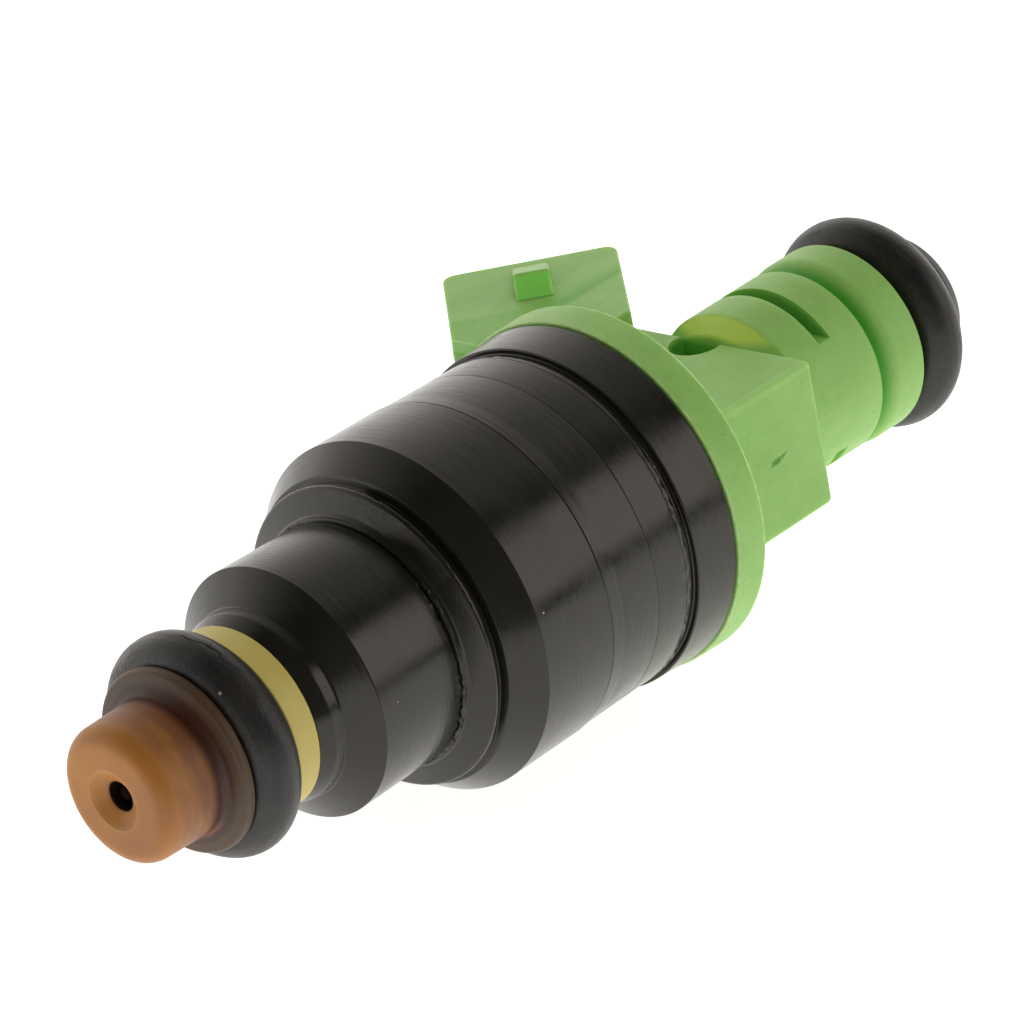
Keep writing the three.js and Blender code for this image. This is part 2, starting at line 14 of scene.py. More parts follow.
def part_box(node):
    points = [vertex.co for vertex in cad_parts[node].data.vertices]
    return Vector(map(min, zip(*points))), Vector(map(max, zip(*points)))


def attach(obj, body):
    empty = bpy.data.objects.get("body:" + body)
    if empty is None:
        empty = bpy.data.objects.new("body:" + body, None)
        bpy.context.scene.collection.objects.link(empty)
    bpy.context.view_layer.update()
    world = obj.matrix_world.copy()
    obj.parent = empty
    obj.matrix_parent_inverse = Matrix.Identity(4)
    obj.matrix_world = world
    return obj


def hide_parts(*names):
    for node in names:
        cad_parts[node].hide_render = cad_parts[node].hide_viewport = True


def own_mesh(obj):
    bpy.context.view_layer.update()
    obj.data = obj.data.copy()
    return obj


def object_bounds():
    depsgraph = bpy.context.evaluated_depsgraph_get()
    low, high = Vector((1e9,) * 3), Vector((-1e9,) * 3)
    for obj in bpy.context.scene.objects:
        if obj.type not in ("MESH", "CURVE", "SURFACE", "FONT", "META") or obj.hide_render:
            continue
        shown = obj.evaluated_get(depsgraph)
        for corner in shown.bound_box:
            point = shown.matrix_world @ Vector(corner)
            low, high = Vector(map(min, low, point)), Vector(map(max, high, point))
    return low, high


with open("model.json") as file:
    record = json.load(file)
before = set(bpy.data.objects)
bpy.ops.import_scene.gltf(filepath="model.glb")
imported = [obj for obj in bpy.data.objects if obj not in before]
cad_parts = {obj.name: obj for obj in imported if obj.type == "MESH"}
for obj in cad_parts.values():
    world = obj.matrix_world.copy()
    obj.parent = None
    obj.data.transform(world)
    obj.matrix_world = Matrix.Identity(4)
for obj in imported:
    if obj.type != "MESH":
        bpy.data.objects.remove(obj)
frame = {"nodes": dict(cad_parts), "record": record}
cad_low, cad_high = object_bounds()


# ---------- places taken from the frame ----------

MM = 0.001


def mount(name):
    return next(m for m in frame["record"]["mounts"] if m["name"] == name)


housing_low, housing_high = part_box("housing")
flat_axis = mount("block_flat")["axis"]
ROLL = math.atan2(flat_axis[2], -flat_axis[1])
TIP = Vector((
    cad_low.x,
    (housing_low.y + housing_high.y) / 2,
    (housing_low.z + housing_high.z) / 2,
))
PLACE = Matrix.Translation(TIP) @ Matrix.Rotation(-ROLL, 4, "X") @ Matrix.Scale(MM, 4)


def span(node):
    """Where a CAD node starts and ends along the injector's axis, in its own millimetres."""
    low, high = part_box(node)
    return (low.x - TIP.x) / MM, (high.x - TIP.x) / MM


# ---------- driving dimensions, in the injector's millimetres ----------

# a pair is (x, radius), unless its comment says otherwise
TURNED_SIDES = 192
ORING_WIRE = 3.53 / 2
ORING_CENTRE = 7.52 / 2 + ORING_WIRE

# spray end
CAP_RADIUS = 4.44
CAP_BASE_RADIUS = 4.54
CAP_FLANGE_RADIUS = 5.98
CAP_FLANGE_FRONT = 5.0
CAP_FLANGE_BACK = 5.7
CAP_SLEEVE_RADIUS = 3.68
CAP_HOLE_RADIUS = 0.97
CAP_HOLE_DEPTH = 2.2
CAP_RIM_RADIUS = 1.97
CAP_RIM_DEPTH = 0.63
CAP_BORE = 3.1
CAP_BORE_START = 2.5
CAP_TIP_ROUNDING = 1.6
WASHER_RADIUS = 5.96
WASHER_BORE = 3.3

# housing and clamp ring
NOSE_START_RADIUS = 5.78
NOSE_LAND = (12.3, 6.22)
NOSE_EDGE = (13.14, 6.27)
COLLAR_RADIUS = 8.26
COLLAR_START = 14.48
COLLAR_END = 21.1
COVE_STEP = (21.6, 8.34)
SHOULDER = 22.2
SHOULDER_RADIUS = 9.95
SHOULDER_GROOVE = (22.55, 9.62)
CONE_START = (23.1, 10.25)
BARREL_START = 25.1
BARREL_RADIUS = 11.67
BARREL_STEP = 31.0
BARREL_LINE = 35.45
BARREL_END = 38.46
RING_OUTER = 11.63
RING_INNER = 10.85
RING_LIP = 0.38

# the housing's hollow inside, from its back to its front
COIL_ROOM = (26.7, 9.5)
ARMATURE_BORE = (19.05, 5.0)
NOZZLE_BORE = (11.6, 5.5)
TIP_BORE = 3.4

# connector body
FLANGE_RADIUS = 11.99
FLANGE_START = 42.46
FLANGE_END = 44.95
BLOCK_HALF = 4.95
BLOCK_FLAT = -7.9
BLOCK_END = 55.7
NECK_RADIUS = 6.4
NECK_COLLAR_RADIUS = 6.53
NECK_END = 67.64
NECK_BORE = 3.45
GROOVE_START = 63.5
GROOVE_FLOOR_END = 63.95
GROOVE_END = 64.85
GROOVE_RADIUS = 5.5
SLOT_START = 59.6
SLOT_END = 60.75
SLOT_FLOOR = 3.8
POCKET = (54.9, 1.05)  # x, y
POCKET_RADIUS = 1.75
POCKET_DEPTH = 1.3
GATE_X = 51.3

# socket, leaning toward the inlet
MOUTH = (56.5, 16.2)  # x, y
LEAN = math.radians(46)
SOCKET_THICK = 11.5
SOCKET_HALF = 7.8
SOCKET_WALL = 1.2
SOCKET_DEPTH = 7.9
SOCKET_CORNER = 0.9
LATCH_WIDTH = 2.4
LATCH_START = 1.0
LATCH_END = 6.3
LATCH_HEIGHT = 1.7

# terminal blades
BLADE_THICK = 0.8
BLADE_WIDTH = 2.8
BLADE_PITCH = 5.0
BLADE_RECESS = 2.2
BLADE_FOOT = (38.15, 7.5)  # x, y

# inlet end
CORE_RADIUS = 4.6
CORE_BORE = 2.0
CORE_FLANGE = (38.8, 41.9, 10.6)  # start, end, radius
TUBE_RADIUS = 3.2
TUBE_SEAT = (67.95, 3.68)
TUBE_BORE = (59.0, 2.75)
FILTER_RADIUS = 2.55
FILTER_BORE = 2.0
FILTER_RIM = (72.0, 4.65)
FILTER_WINDOW = 2.4
FILTER_WINDOWS_END = 69.0

# needle and spring
NEEDLE_RADIUS = 1.3
PINTLE_RADIUS = 0.42
NEEDLE_CONE = (3.95, 4.95)  # start, end
NEEDLE_COLLAR = (17.0, 17.45, 2.3)  # start, end, radius
SPRING = (23.3, 33.4)  # the middle of its wire at either end
SPRING_RADIUS = 1.45
SPRING_WIRE = 0.24  # half of the wire's thickness
SPRING_TURNS = 6


# ---------- outlines ----------

def rounded(outline, hold=0.03):
    """An [x, radius] outline with its corners rounded. Each corner is (x, radius, rounding)."""
    made = []
    count = len(outline)
    for i, corner in enumerate(outline):
        here = Vector(corner[:2])
        rounding = corner[2] if len(corner) > 2 else 0
        before = Vector(outline[i - 1][:2]) - here
        after = Vector(outline[(i + 1) % count][:2]) - here
        turn = math.pi - before.angle(after) if before.length and after.length else 0
        if not rounding or turn < 0.02:
            made.append(tuple(here))
            continue
        reach = rounding * math.tan(turn / 2)
        reach = min(reach, 0.45 * before.length, 0.45 * after.length)
        rounding = reach / math.tan(turn / 2)
        middle = here + (before.normalized() + after.normalized()).normalized() * (
            rounding / math.cos(turn / 2))
        start = here + before.normalized() * reach - middle
        end = here + after.normalized() * reach - middle
        side = 1 if start.x * end.y - start.y * end.x > 0 else -1
        first = math.atan2(start.y, start.x)
        steps = max(3, round(math.degrees(turn) / 9))
        if hold < 0.4 * (before.length - reach):
            made.append(tuple(here + before.normalized() * (reach + hold)))
        for k in range(steps + 1):
            angle = first + side * turn * k / steps
            made.append((middle.x + rounding * math.cos(angle), middle.y + rounding * math.sin(angle)))
        if hold < 0.4 * (after.length - reach):
            made.append(tuple(here + after.normalized() * (reach + hold)))
    return made


def scratch(x, radius, depth, width=0.05):
    """A fine turned line round a cylinder, as outline points."""
    return [(x - width, radius), (x, radius - depth), (x + width, radius)]


# ---------- meshes ----------

def finished(name, shape, material, sharp=32):
    """Turns a bmesh in the injector's millimetres into an object in the row frame."""
    bmesh.ops.recalc_face_normals(shape, faces=shape.faces)
    bmesh.ops.transform(shape, matrix=PLACE, verts=shape.verts)
    mesh = bpy.data.meshes.new(name)
    shape.to_mesh(mesh)
    shape.free()
    mesh.polygons.foreach_set("use_smooth", [True] * len(mesh.polygons))
    mesh.set_sharp_from_angle(angle=math.radians(sharp))
    piece = bpy.data.objects.new(name, mesh)
    bpy.context.scene.collection.objects.link(piece)
    mesh.materials.append(material)
    weighted = piece.modifiers.new("weighted normals", "WEIGHTED_NORMAL")
    weighted.keep_sharp = True
    return piece


def turned(outline, sides=TURNED_SIDES, uneven=None):
    """A bmesh turned about X from its outline. uneven(x, radius, angle) may move a point."""
    shape = bmesh.new()
    rings = []
    for x, radius in outline:
        if radius < 1e-6:
            rings.append([shape.verts.new((x, 0, 0))])
            continue
        ring = []
        for k in range(sides):
            angle = 2 * math.pi * k / sides
            px, pr = uneven(x, radius, angle) if uneven else (x, radius)
            ring.append(shape.verts.new((px, pr * math.cos(angle), pr * math.sin(angle))))
        rings.append(ring)
    on_axis = len(rings[0]) == 1
    pairs = list(zip(rings, rings[1:]))
    if not on_axis:
        pairs.append((rings[-1], rings[0]))
    for one, two in pairs:
        for k in range(sides):
            n = (k + 1) % sides
            if len(one) == 1 and len(two) == 1:
                break
            if len(one) == 1:
                shape.faces.new((one[0], two[k], two[n]))
            elif len(two) == 1:
                shape.faces.new((one[k], two[0], one[n]))
            else:
                shape.faces.new((one[k], two[k], two[n], one[n]))
    return shape


def prism(outline, low, high, rounding=0.0, steps=4):
    """A bmesh with an outline in X and Y, between two heights, its edges rounded."""
    shape = bmesh.new()
    base = [shape.verts.new((x, y, low)) for x, y in outline]
    top = [shape.verts.new((x, y, high)) for x, y in outline]
    shape.faces.new(base)
    shape.faces.new(top)
    for i in range(len(outline)):
        n = (i + 1) % len(outline)
        shape.faces.new((base[i], base[n], top[n], top[i]))
    bmesh.ops.recalc_face_normals(shape, faces=shape.faces)
    if rounding:
        edges = [e for e in shape.edges if e.calc_face_angle() > math.radians(25)]
        bmesh.ops.bevel(shape, geom=edges, offset=rounding, segments=steps, profile=0.5,
                        affect="EDGES", clamp_overlap=True)
    return shape


def box(low, high, rounding=0.0):
    outline = [(low[0], low[1]), (high[0], low[1]), (high[0], high[1]), (low[0], high[1])]
    return prism(outline, low[2], high[2], rounding)


def scrap(shape):
    """A bmesh as an object that only serves a cut or a join."""
    bmesh.ops.recalc_face_normals(shape, faces=shape.faces)
    mesh = bpy.data.meshes.new("scrap")
    shape.to_mesh(mesh)
    shape.free()
    made = bpy.data.objects.new("scrap", mesh)
    bpy.context.scene.collection.objects.link(made)
    return made


def combined(first, added, removed):
    """The first bmesh with others joined to it and then cut from it, as a new bmesh."""
    body = scrap(first)
    tools = [(scrap(s), "UNION") for s in added] + [(scrap(s), "DIFFERENCE") for s in removed]
    for tool, operation in tools:
        step = body.modifiers.new("step", "BOOLEAN")
        step.operation = operation
        step.solver = "MANIFOLD"
        step.object = tool
    shape = bmesh.new()
    shape.from_object(body, bpy.context.evaluated_depsgraph_get())
    for made in [body] + [tool for tool, _ in tools]:
        mesh = made.data
        bpy.data.objects.remove(made)
        bpy.data.meshes.remove(mesh)
    bmesh.ops.dissolve_degenerate(shape, dist=1e-4, edges=shape.edges)
    return shape


# ---------- shader helpers ----------

class Graph:
    """Adds nodes to a node tree. Each input takes a value or another node's output."""

    def __init__(self, tree):
        self.tree = tree

    def add(self, kind, inputs=None, output=0, **settings):
        node = self.tree.nodes.new("ShaderNode" + kind)
        for key, value in settings.items():
            setattr(node, key, value)
        for key, value in (inputs or {}).items():
            if isinstance(value, bpy.types.NodeSocket):
                self.tree.links.new(value, node.inputs[key])
            else:
                node.inputs[key].default_value = value
        return node.outputs[output]

    def math(self, operation, one, two=0.0):
        return self.add("Math", {0: one, 1: two}, operation=operation)

    def times(self, first, *others):
        """The product of values."""
        for other in others:
            first = self.math("MULTIPLY", first, other)
        return first

    def plus(self, first, *others):
        """The sum of values."""
        for other in others:
            first = self.math("ADD", first, other)
        return first

    def rise(self, value, low, high, start=0.0, end=1.0):
        """A smooth step from start to end as value goes from low to high."""
        inputs = {"Value": value, "From Min": low, "From Max": high, "To Min": start, "To Max": end}
        return self.add("MapRange", inputs, interpolation_type="SMOOTHSTEP")

    def band(self, value, low, high, soft):
        """1 between low and high, falling to 0 over soft on either side."""
        up = self.rise(value, low - soft, low)
        down = self.rise(value, high, high + soft, 1.0, 0.0)
        return self.times(up, down)

    def mix(self, share, one, two):
        """A colour that goes from one to two as share goes from 0 to 1."""
        return self.add("Mix", {0: share, 6: one, 7: two}, output=2, data_type="RGBA")

    def noise(self, vector, scale, detail=2.0, rough=0.5):
        inputs = {"Vector": vector, "Scale": scale, "Detail": detail, "Roughness": rough}
        return self.add("TexNoise", inputs)

    def stretch(self, vector, factors):
        return self.add("VectorMath", {0: vector, 1: factors}, operation="MULTIPLY")

    def place(self):
        """The point in the injector's own millimetres."""
        point = self.add("TexCoord", output=3)
        inputs = {"Vector": point, "Location": TIP, "Rotation": (-ROLL, 0, 0), "Scale": (MM,) * 3}
        return self.add("Mapping", inputs, vector_type="TEXTURE")

    def parts(self, vector):
        """The x, y and z of a vector."""
        node = self.tree.nodes.new("ShaderNodeSeparateXYZ")
        self.tree.links.new(vector, node.inputs[0])
        return node.outputs[0], node.outputs[1], node.outputs[2]

    def radius(self, y, z):
        return self.math("SQRT", self.plus(self.times(y, y), self.times(z, z)))

    def dust(self, vector, scale, share, size):
        """Small specks: 1 inside a speck, and 0 between them."""
        node = self.tree.nodes.new("ShaderNodeTexVoronoi")
        self.tree.links.new(vector, node.inputs["Vector"])
        node.inputs["Scale"].default_value = scale
        chance, _, pick = self.parts(node.outputs["Color"])
        chosen = self.math("LESS_THAN", chance, share)
        near = self.math("LESS_THAN", node.outputs["Distance"], self.times(pick, size))
        return self.times(chosen, near)

    def bump(self, height, distance, strength):
        """A normal for relief as deep as distance, in millimetres."""
        return self.add("Bump", {"Height": height, "Distance": distance * MM, "Strength": strength})


def material(name, build, **fixed):
    """A Principled material. build(graph) gives its patterned inputs, and fixed its plain ones."""
    made = bpy.data.materials.new(name)
    made.use_nodes = True
    graph = Graph(made.node_tree)
    shader = made.node_tree.nodes["Principled BSDF"]
    for key, value in fixed.items():
        shader.inputs[key.replace("_", " ")].default_value = value
    for key, value in build(graph).items():
        made.node_tree.links.new(value, shader.inputs[key.replace("_", " ")])
    return made


def linear(red, green, blue):
    """A colour given as 0 to 255 display values."""
    return tuple(
        v / 12.92 if v <= 0.04045 else ((v + 0.055) / 1.055) ** 2.4
        for v in (red / 255, green / 255, blue / 255)
    ) + (1.0,)


# ---------- materials ----------

def nicks(g, point, scale, share, size):
    """Short scratches in two directions: 1 on a scratch, and 0 elsewhere."""
    one = g.dust(g.stretch(point, (0.35, 1.3, 1.0)), scale, share, size)
    two = g.dust(g.stretch(point, (1.4, 0.5, 0.3)), scale * 1.2, share, size)
    return g.math("MAXIMUM", one, two)


def black_coating(g):
    """Glossy black coating over turned steel, with fine lines round it, wear and dust."""
    point = g.place()
    x, _, _ = g.parts(point)
    lines = g.noise(g.stretch(point, (9.0, 0.12, 0.12)), 1.0, 4.0, 0.65)
    smears = g.noise(g.stretch(point, (2.6, 0.3, 0.3)), 1.0, 4.0, 0.6)
    cloud = g.noise(point, 0.35, 3.0)
    scuffs = g.noise(g.stretch(point, (1.6, 3.0, 3.0)), 1.5, 5.0, 0.7)
    worn = g.rise(scuffs, 0.58, 0.74)
    scratches = nicks(g, point, 1.1, 0.1, 0.05)
    specks = g.dust(point, 0.7, 0.1, 0.1)
    colour = g.mix(cloud, (0.0093, 0.0086, 0.0066, 1), (0.0142, 0.0134, 0.0105, 1))
    colour = g.mix(g.times(scratches, 0.25), colour, (0.3, 0.28, 0.25, 1))
    colour = g.mix(g.times(specks, 0.8), colour, (0.6, 0.56, 0.5, 1))
    # painted shade: the coating is darkened in the grooves behind the collar and the shoulder, and it
    # is duller there too
    behind_collar = g.band(x, COLLAR_END + 0.02, COLLAR_END + 0.11, 0.02)
    behind_shoulder = g.band(x, SHOULDER + 0.28, CONE_START[0] - 0.06, 0.04)
    grooves = g.math("MAXIMUM", behind_collar, g.times(behind_shoulder, 0.7))
    colour = g.mix(grooves, colour, (0.003, 0.0027, 0.0022, 1))
    rough = g.plus(
        g.rise(lines, 0.3, 0.7, 0.15, 0.23),
        g.rise(cloud, 0.35, 0.7, -0.02, 0.06),
        g.times(worn, 0.08),
        g.times(specks, 0.4),
        g.times(grooves, 0.25),
    )
    height = g.plus(
        g.times(lines, 0.3),
        g.times(smears, 1.2),
        g.times(scuffs, 0.35),
        g.times(scratches, -0.25),
    )
    return {"Base_Color": colour, "Roughness": rough, "Normal": g.bump(height, 0.02, 0.7)}


def seal_rubber(g):
    """Smooth black rubber with scuffs and dust."""
    point = g.place()
    x, y, z = g.parts(point)
    radius = g.radius(y, z)
    grain = g.noise(point, 6.0, 5.0, 0.65)
    cloud = g.noise(point, 0.5, 4.0, 0.6)
    smear = g.rise(g.noise(g.stretch(point, (2.2, 0.6, 0.6)), 1.4, 5.0, 0.7), 0.5, 0.72)
    # streaks that run round the ring
    around = g.add("CombineXYZ", {0: g.plus(x, g.times(radius, 0.7)),
                                  1: g.math("DIVIDE", y, radius), 2: g.math("DIVIDE", z, radius)})
    streaks = g.noise(g.stretch(around, (1.3, 1.6, 1.6)), 1.0, 3.0, 0.5)
    scratches = nicks(g, point, 1.0, 0.16, 0.06)
    specks = g.dust(point, 1.0, 0.16, 0.11)
    colour = g.mix(g.rise(cloud, 0.35, 0.7), (0.010, 0.010, 0.0095, 1), (0.019, 0.0175, 0.016, 1))
    colour = g.mix(g.times(smear, 0.3), colour, (0.06, 0.05, 0.04, 1))
    colour = g.mix(g.times(scratches, 0.5), colour, (0.2, 0.19, 0.17, 1))
    colour = g.mix(g.times(specks, 0.75), colour, (0.45, 0.4, 0.34, 1))
    # a chafed place on the lower ring, beside the cap
    frayed = g.rise(g.noise(point, 2.2, 5.0, 0.75), 0.5, 0.62)
    chafed = g.times(frayed, g.band(x, 5.9, 6.7, 0.3), g.band(y, 3.6, 5.6, 0.5), g.rise(z, 1.8, 2.6))
    colour = g.mix(g.times(chafed, 0.6), colour, (0.16, 0.12, 0.09, 1))
    # a wandering crease where the lower ring was nipped
    wander = g.rise(g.noise(point, 0.7, 2.0, 0.6), 0.2, 0.8, -0.25, 0.25)
    crease = g.times(g.band(g.plus(x, wander), 7.5, 7.58, 0.07), g.rise(radius, 6.4, 6.7),
                     g.band(y, -3.9, -0.4, 0.3), g.rise(z, 2.0, 3.0))
    colour = g.mix(g.times(crease, 0.4), colour, (0.002, 0.002, 0.002, 1))
    rough = g.plus(g.rise(streaks, 0.3, 0.7, 0.32, 0.46), g.times(smear, 0.14), g.times(crease, 0.4))
    height = g.plus(grain, g.times(cloud, 3.0), g.times(streaks, 3.0),
                    g.times(crease, -1.5), g.times(scratches, -0.6))
    return {"Base_Color": colour, "Roughness": rough, "Normal": g.bump(height, 0.03, 0.7)}


def amber_plastic(g):
    """Brown plastic, more orange at its thin tip, with soft flow marks, and dark at its flange."""
    point = g.place()
    x, y, z = g.parts(point)
    radius = g.radius(y, z)
    flow = g.noise(g.stretch(point, (0.7, 0.35, 0.35)), 1.0, 3.0, 0.5)
    rings = g.noise(g.stretch(point, (0.9, 0.1, 0.1)), 1.0, 1.0, 0.5)
    grain = g.noise(point, 5.0, 4.0, 0.6)
    tip = g.mix(g.rise(x, 0.0, 3.6), linear(184, 122, 50), linear(122, 76, 42))
    tip = g.mix(g.rise(flow, 0.45, 0.7, 0.0, 0.35), tip, linear(200, 138, 48))
    tip = g.mix(g.rise(flow, 0.5, 0.3, 0.0, 0.2), tip, linear(140, 84, 42))
    tip = g.mix(g.rise(rings, 0.4, 0.65, 0.0, 0.25), tip, linear(116, 66, 34))
    colour = g.mix(g.rise(x, 3.5, 4.3), tip, linear(66, 30, 10))
    flange_face = g.times(g.rise(x, 4.5, 4.9), g.rise(radius, 4.9, 5.4))
    colour = g.mix(flange_face, colour, linear(82, 61, 40))
    # light comes through at the low side of the fillet
    through = g.times(g.band(x, 4.35, 4.6, 0.15), g.rise(z, -2.6, -3.6), g.rise(y, -1.0, -2.2))
    colour = g.mix(g.times(through, 0.3), colour, linear(180, 96, 44))
    # painted shade darkens the inside of the spray hole, and a painted highlight makes its wide rim
    # paler
    inside = g.times(g.rise(radius, 1.12, 0.98), g.rise(x, 0.5, 0.75))
    colour = g.mix(inside, colour, linear(40, 20, 8))
    rim = g.times(g.band(radius, 1.8, 2.0, 0.12), g.rise(x, 1.0, 0.5))
    colour = g.mix(g.times(rim, 0.2), colour, linear(206, 160, 100))
    height = g.plus(g.times(flow, 2.0), grain)
    rough = g.rise(grain, 0.3, 0.7, 0.44, 0.54)
    return {"Base_Color": colour, "Roughness": rough, "Normal": g.bump(height, 0.02, 0.5)}


def yellow_plastic(g):
    """Pale yellow moulded plastic."""
    point = g.place()
    cloud = g.noise(point, 0.8, 4.0)
    grain = g.noise(point, 9.0, 3.0)
    colour = g.mix(cloud, linear(198, 182, 94), linear(212, 197, 111))
    specks = g.dust(point, 0.8, 0.2, 0.1)
    colour = g.mix(g.times(specks, 0.5), colour, linear(120, 108, 70))
    return {"Base_Color": colour, "Roughness": g.rise(cloud, 0.3, 0.7, 0.38, 0.5),
            "Normal": g.bump(grain, 0.01, 0.5)}


def painted_edge_light(g, x, y, z, radius, broken):
    """Painted light: highlights along the flange's two rims, and light coming through the block's
    upper edge.
    """
    rims = g.plus(g.band(x, FLANGE_START - 0.16, FLANGE_START + 0.08, 0.05),
                  g.band(x, FLANGE_END - 0.16, FLANGE_END, 0.06))
    rims = g.times(rims, g.rise(radius, 11.7, 11.9), broken)
    edge = g.times(g.rise(z, BLOCK_HALF - 0.65, BLOCK_HALF - 0.05),
                   g.rise(y, BLOCK_FLAT + 0.7, BLOCK_FLAT + 0.1),
                   g.band(x, FLANGE_END + 0.35, BLOCK_END - 0.2, 0.2))
    return rims, edge


def shaded_neck_cuts(g, x, y, z, radius):
    """Painted shade: the colour is deeper in the slots, the groove and the pocket."""
    inner = g.times(g.rise(radius, NECK_RADIUS + 0.02, 5.8), g.band(x, 57.5, 66.0, 0.2),
                    g.rise(x, SLOT_END + 0.25, GROOVE_START - 1, 0.7, 1.3))
    hole = g.times(g.rise(z, BLOCK_HALF - 0.05, BLOCK_HALF - 0.55), g.rise(z, 3.4, 3.6),
                   g.band(x, POCKET[0] - 1.9, POCKET[0] + 1.9, 0.02),
                   g.band(y, POCKET[1] - 1.8, POCKET[1] + 1.8, 0.02))
    return g.math("MAXIMUM", inner, hole)


def gate_scar(g, x, y, z, point):
    """A small leaning mark where the mould's gate was, on the block's flat face."""
    level, tilt = 0.975, 0.22  # the cosine and sine of its lean
    half_length, half_width = 0.75, 0.2
    beyond = g.math("SUBTRACT", x, GATE_X)
    along = g.plus(g.times(beyond, level), g.times(z, tilt))
    beside = g.plus(g.times(z, level), g.times(beyond, -tilt))
    away = g.radius(g.math("DIVIDE", along, half_length), g.math("DIVIDE", beside, half_width))
    away = g.plus(away, g.rise(g.noise(point, 3.0, 3.0), 0.3, 0.7, -0.4, 0.4))
    return g.times(g.rise(away, 1.1, 0.7), g.rise(y, BLOCK_FLAT + 0.6, BLOCK_FLAT + 0.4))


def socket_light_and_shade(g, x, y, z):
    """Painted light and shade on the socket's two wide sides: shade where it is solid, light on its
    latch's shoulder, and light at its mouth.
    """
    inward = g.math("SUBTRACT", MOUTH[0], x)
    downward = g.math("SUBTRACT", MOUTH[1], y)
    depth = g.plus(g.times(inward, math.cos(LEAN)), g.times(downward, math.sin(LEAN)))
    across = g.plus(g.times(inward, math.sin(LEAN)), g.times(downward, -math.cos(LEAN)))
    height = g.math("ABSOLUTE", z)
    outside = g.rise(height, SOCKET_HALF - 0.8, SOCKET_HALF - 0.2)
    below_floor = g.rise(depth, SOCKET_DEPTH - 0.35, SOCKET_DEPTH + 0.35, 0.0, 0.35)
    corner = g.rise(g.plus(depth, g.times(across, -0.8)), 7.0, 10.2, 0.0, 0.95)
    solid = g.times(g.math("MAXIMUM", below_floor, corner), outside, g.rise(y, 8.3, 9.2))
    shoulder = g.times(g.rise(height, SOCKET_HALF + 0.02, SOCKET_HALF + 0.15),
                       g.band(depth, LATCH_END - 0.15, LATCH_END + 0.9, 0.1),
                       g.band(across, -LATCH_WIDTH / 2 - 0.2, LATCH_WIDTH / 2 + 0.2, 0.1))
    mouth = g.times(g.rise(depth, 0.9, 0.1), g.rise(g.math("ABSOLUTE", across), 4.4, 5.3), outside)
    return solid, shoulder, mouth


def green_plastic(g):
    """Satin green nylon, with painted light: lighter at thin edges and limey where light comes through
    it, and painted shade in its cuts and on the socket's solid parts.
    """
    point = g.place()
    x, y, z = g.parts(point)
    radius = g.radius(y, z)
    cloud = g.noise(point, 0.22, 4.0, 0.55)
    patches = g.noise(point, 1.1, 4.0, 0.65)
    grain = g.noise(point, 7.0, 4.0, 0.6)
    broken = g.rise(g.noise(point, 1.6, 3.0), 0.35, 0.6, 0.25, 1.0)
    colour = g.mix(g.rise(cloud, 0.3, 0.7), linear(148, 198, 104), linear(158, 208, 116))
    colour = g.mix(g.rise(patches, 0.52, 0.72, 0.0, 0.35), colour, linear(172, 210, 114))
    colour = g.mix(g.rise(patches, 0.45, 0.3, 0.0, 0.25), colour, linear(128, 188, 84))
    rims, edge = painted_edge_light(g, x, y, z, radius, broken)
    # painted highlights on the flange's rims, and painted light along the block's upper edge
    colour = g.mix(g.times(rims, 0.6), colour, linear(216, 242, 180))
    colour = g.mix(g.times(edge, 0.6), colour, linear(190, 240, 150))
    # painted light: a limey glow on the front cone of the neck, over the block
    cone = g.times(g.band(x, BLOCK_END + 0.02, BLOCK_END + 0.8, 0.3), g.rise(radius, 4.9, 5.2),
                   g.rise(z, 4.6, 5.3), g.rise(radius, 6.9, 6.6))
    colour = g.mix(g.times(cone, 0.8), colour, linear(226, 244, 112))
    colour = g.mix(g.times(shaded_neck_cuts(g, x, y, z, radius), 0.75), colour, linear(84, 178, 56))
    solid, shoulder, mouth = socket_light_and_shade(g, x, y, z)
    # painted shade where the socket is solid; painted light on the latch's shoulder and at its mouth
    colour = g.mix(solid, colour, linear(104, 188, 62))
    colour = g.mix(shoulder, colour, linear(170, 250, 126))
    colour = g.mix(g.times(mouth, 0.5), colour, linear(176, 206, 84))
    # the mould's parting line on the neck, then the gate's scar, specks and scratches
    parting = g.times(g.band(z, -0.34, -0.26, 0.04), g.rise(y, -6.0, -6.2),
                      g.band(x, BLOCK_END + 1.1, GROOVE_START - 0.1, 0.05), broken)
    colour = g.mix(g.times(parting, 0.25), colour, linear(190, 226, 150))
    colour = g.mix(g.times(gate_scar(g, x, y, z, point), 0.6), colour, linear(70, 140, 50))
    marks = g.math("MAXIMUM", g.dust(point, 0.5, 0.14, 0.07), nicks(g, point, 0.6, 0.16, 0.06))
    colour = g.mix(g.times(marks, 0.3), colour, linear(66, 112, 46))
    height = g.plus(grain, g.times(cloud, 8.0), g.times(patches, 2.0))
    rough = g.rise(grain, 0.3, 0.7, 0.42, 0.54)
    return {"Base_Color": colour, "Roughness": rough, "Normal": g.bump(height, 0.03, 0.5)}


def turned_steel(low, high):
    """Bright steel with fine lines round it."""
    def build(g):
        point = g.place()
        lines = g.noise(g.stretch(point, (14.0, 0.2, 0.2)), 1.0, 4.0, 0.7)
        cloud = g.noise(point, 0.6, 3.0)
        colour = g.mix(cloud, low, high)
        rough = g.rise(lines, 0.3, 0.7, 0.22, 0.4)
        return {"Base_Color": colour, "Roughness": rough, "Normal": g.bump(lines, 0.01, 0.5)}
    return build


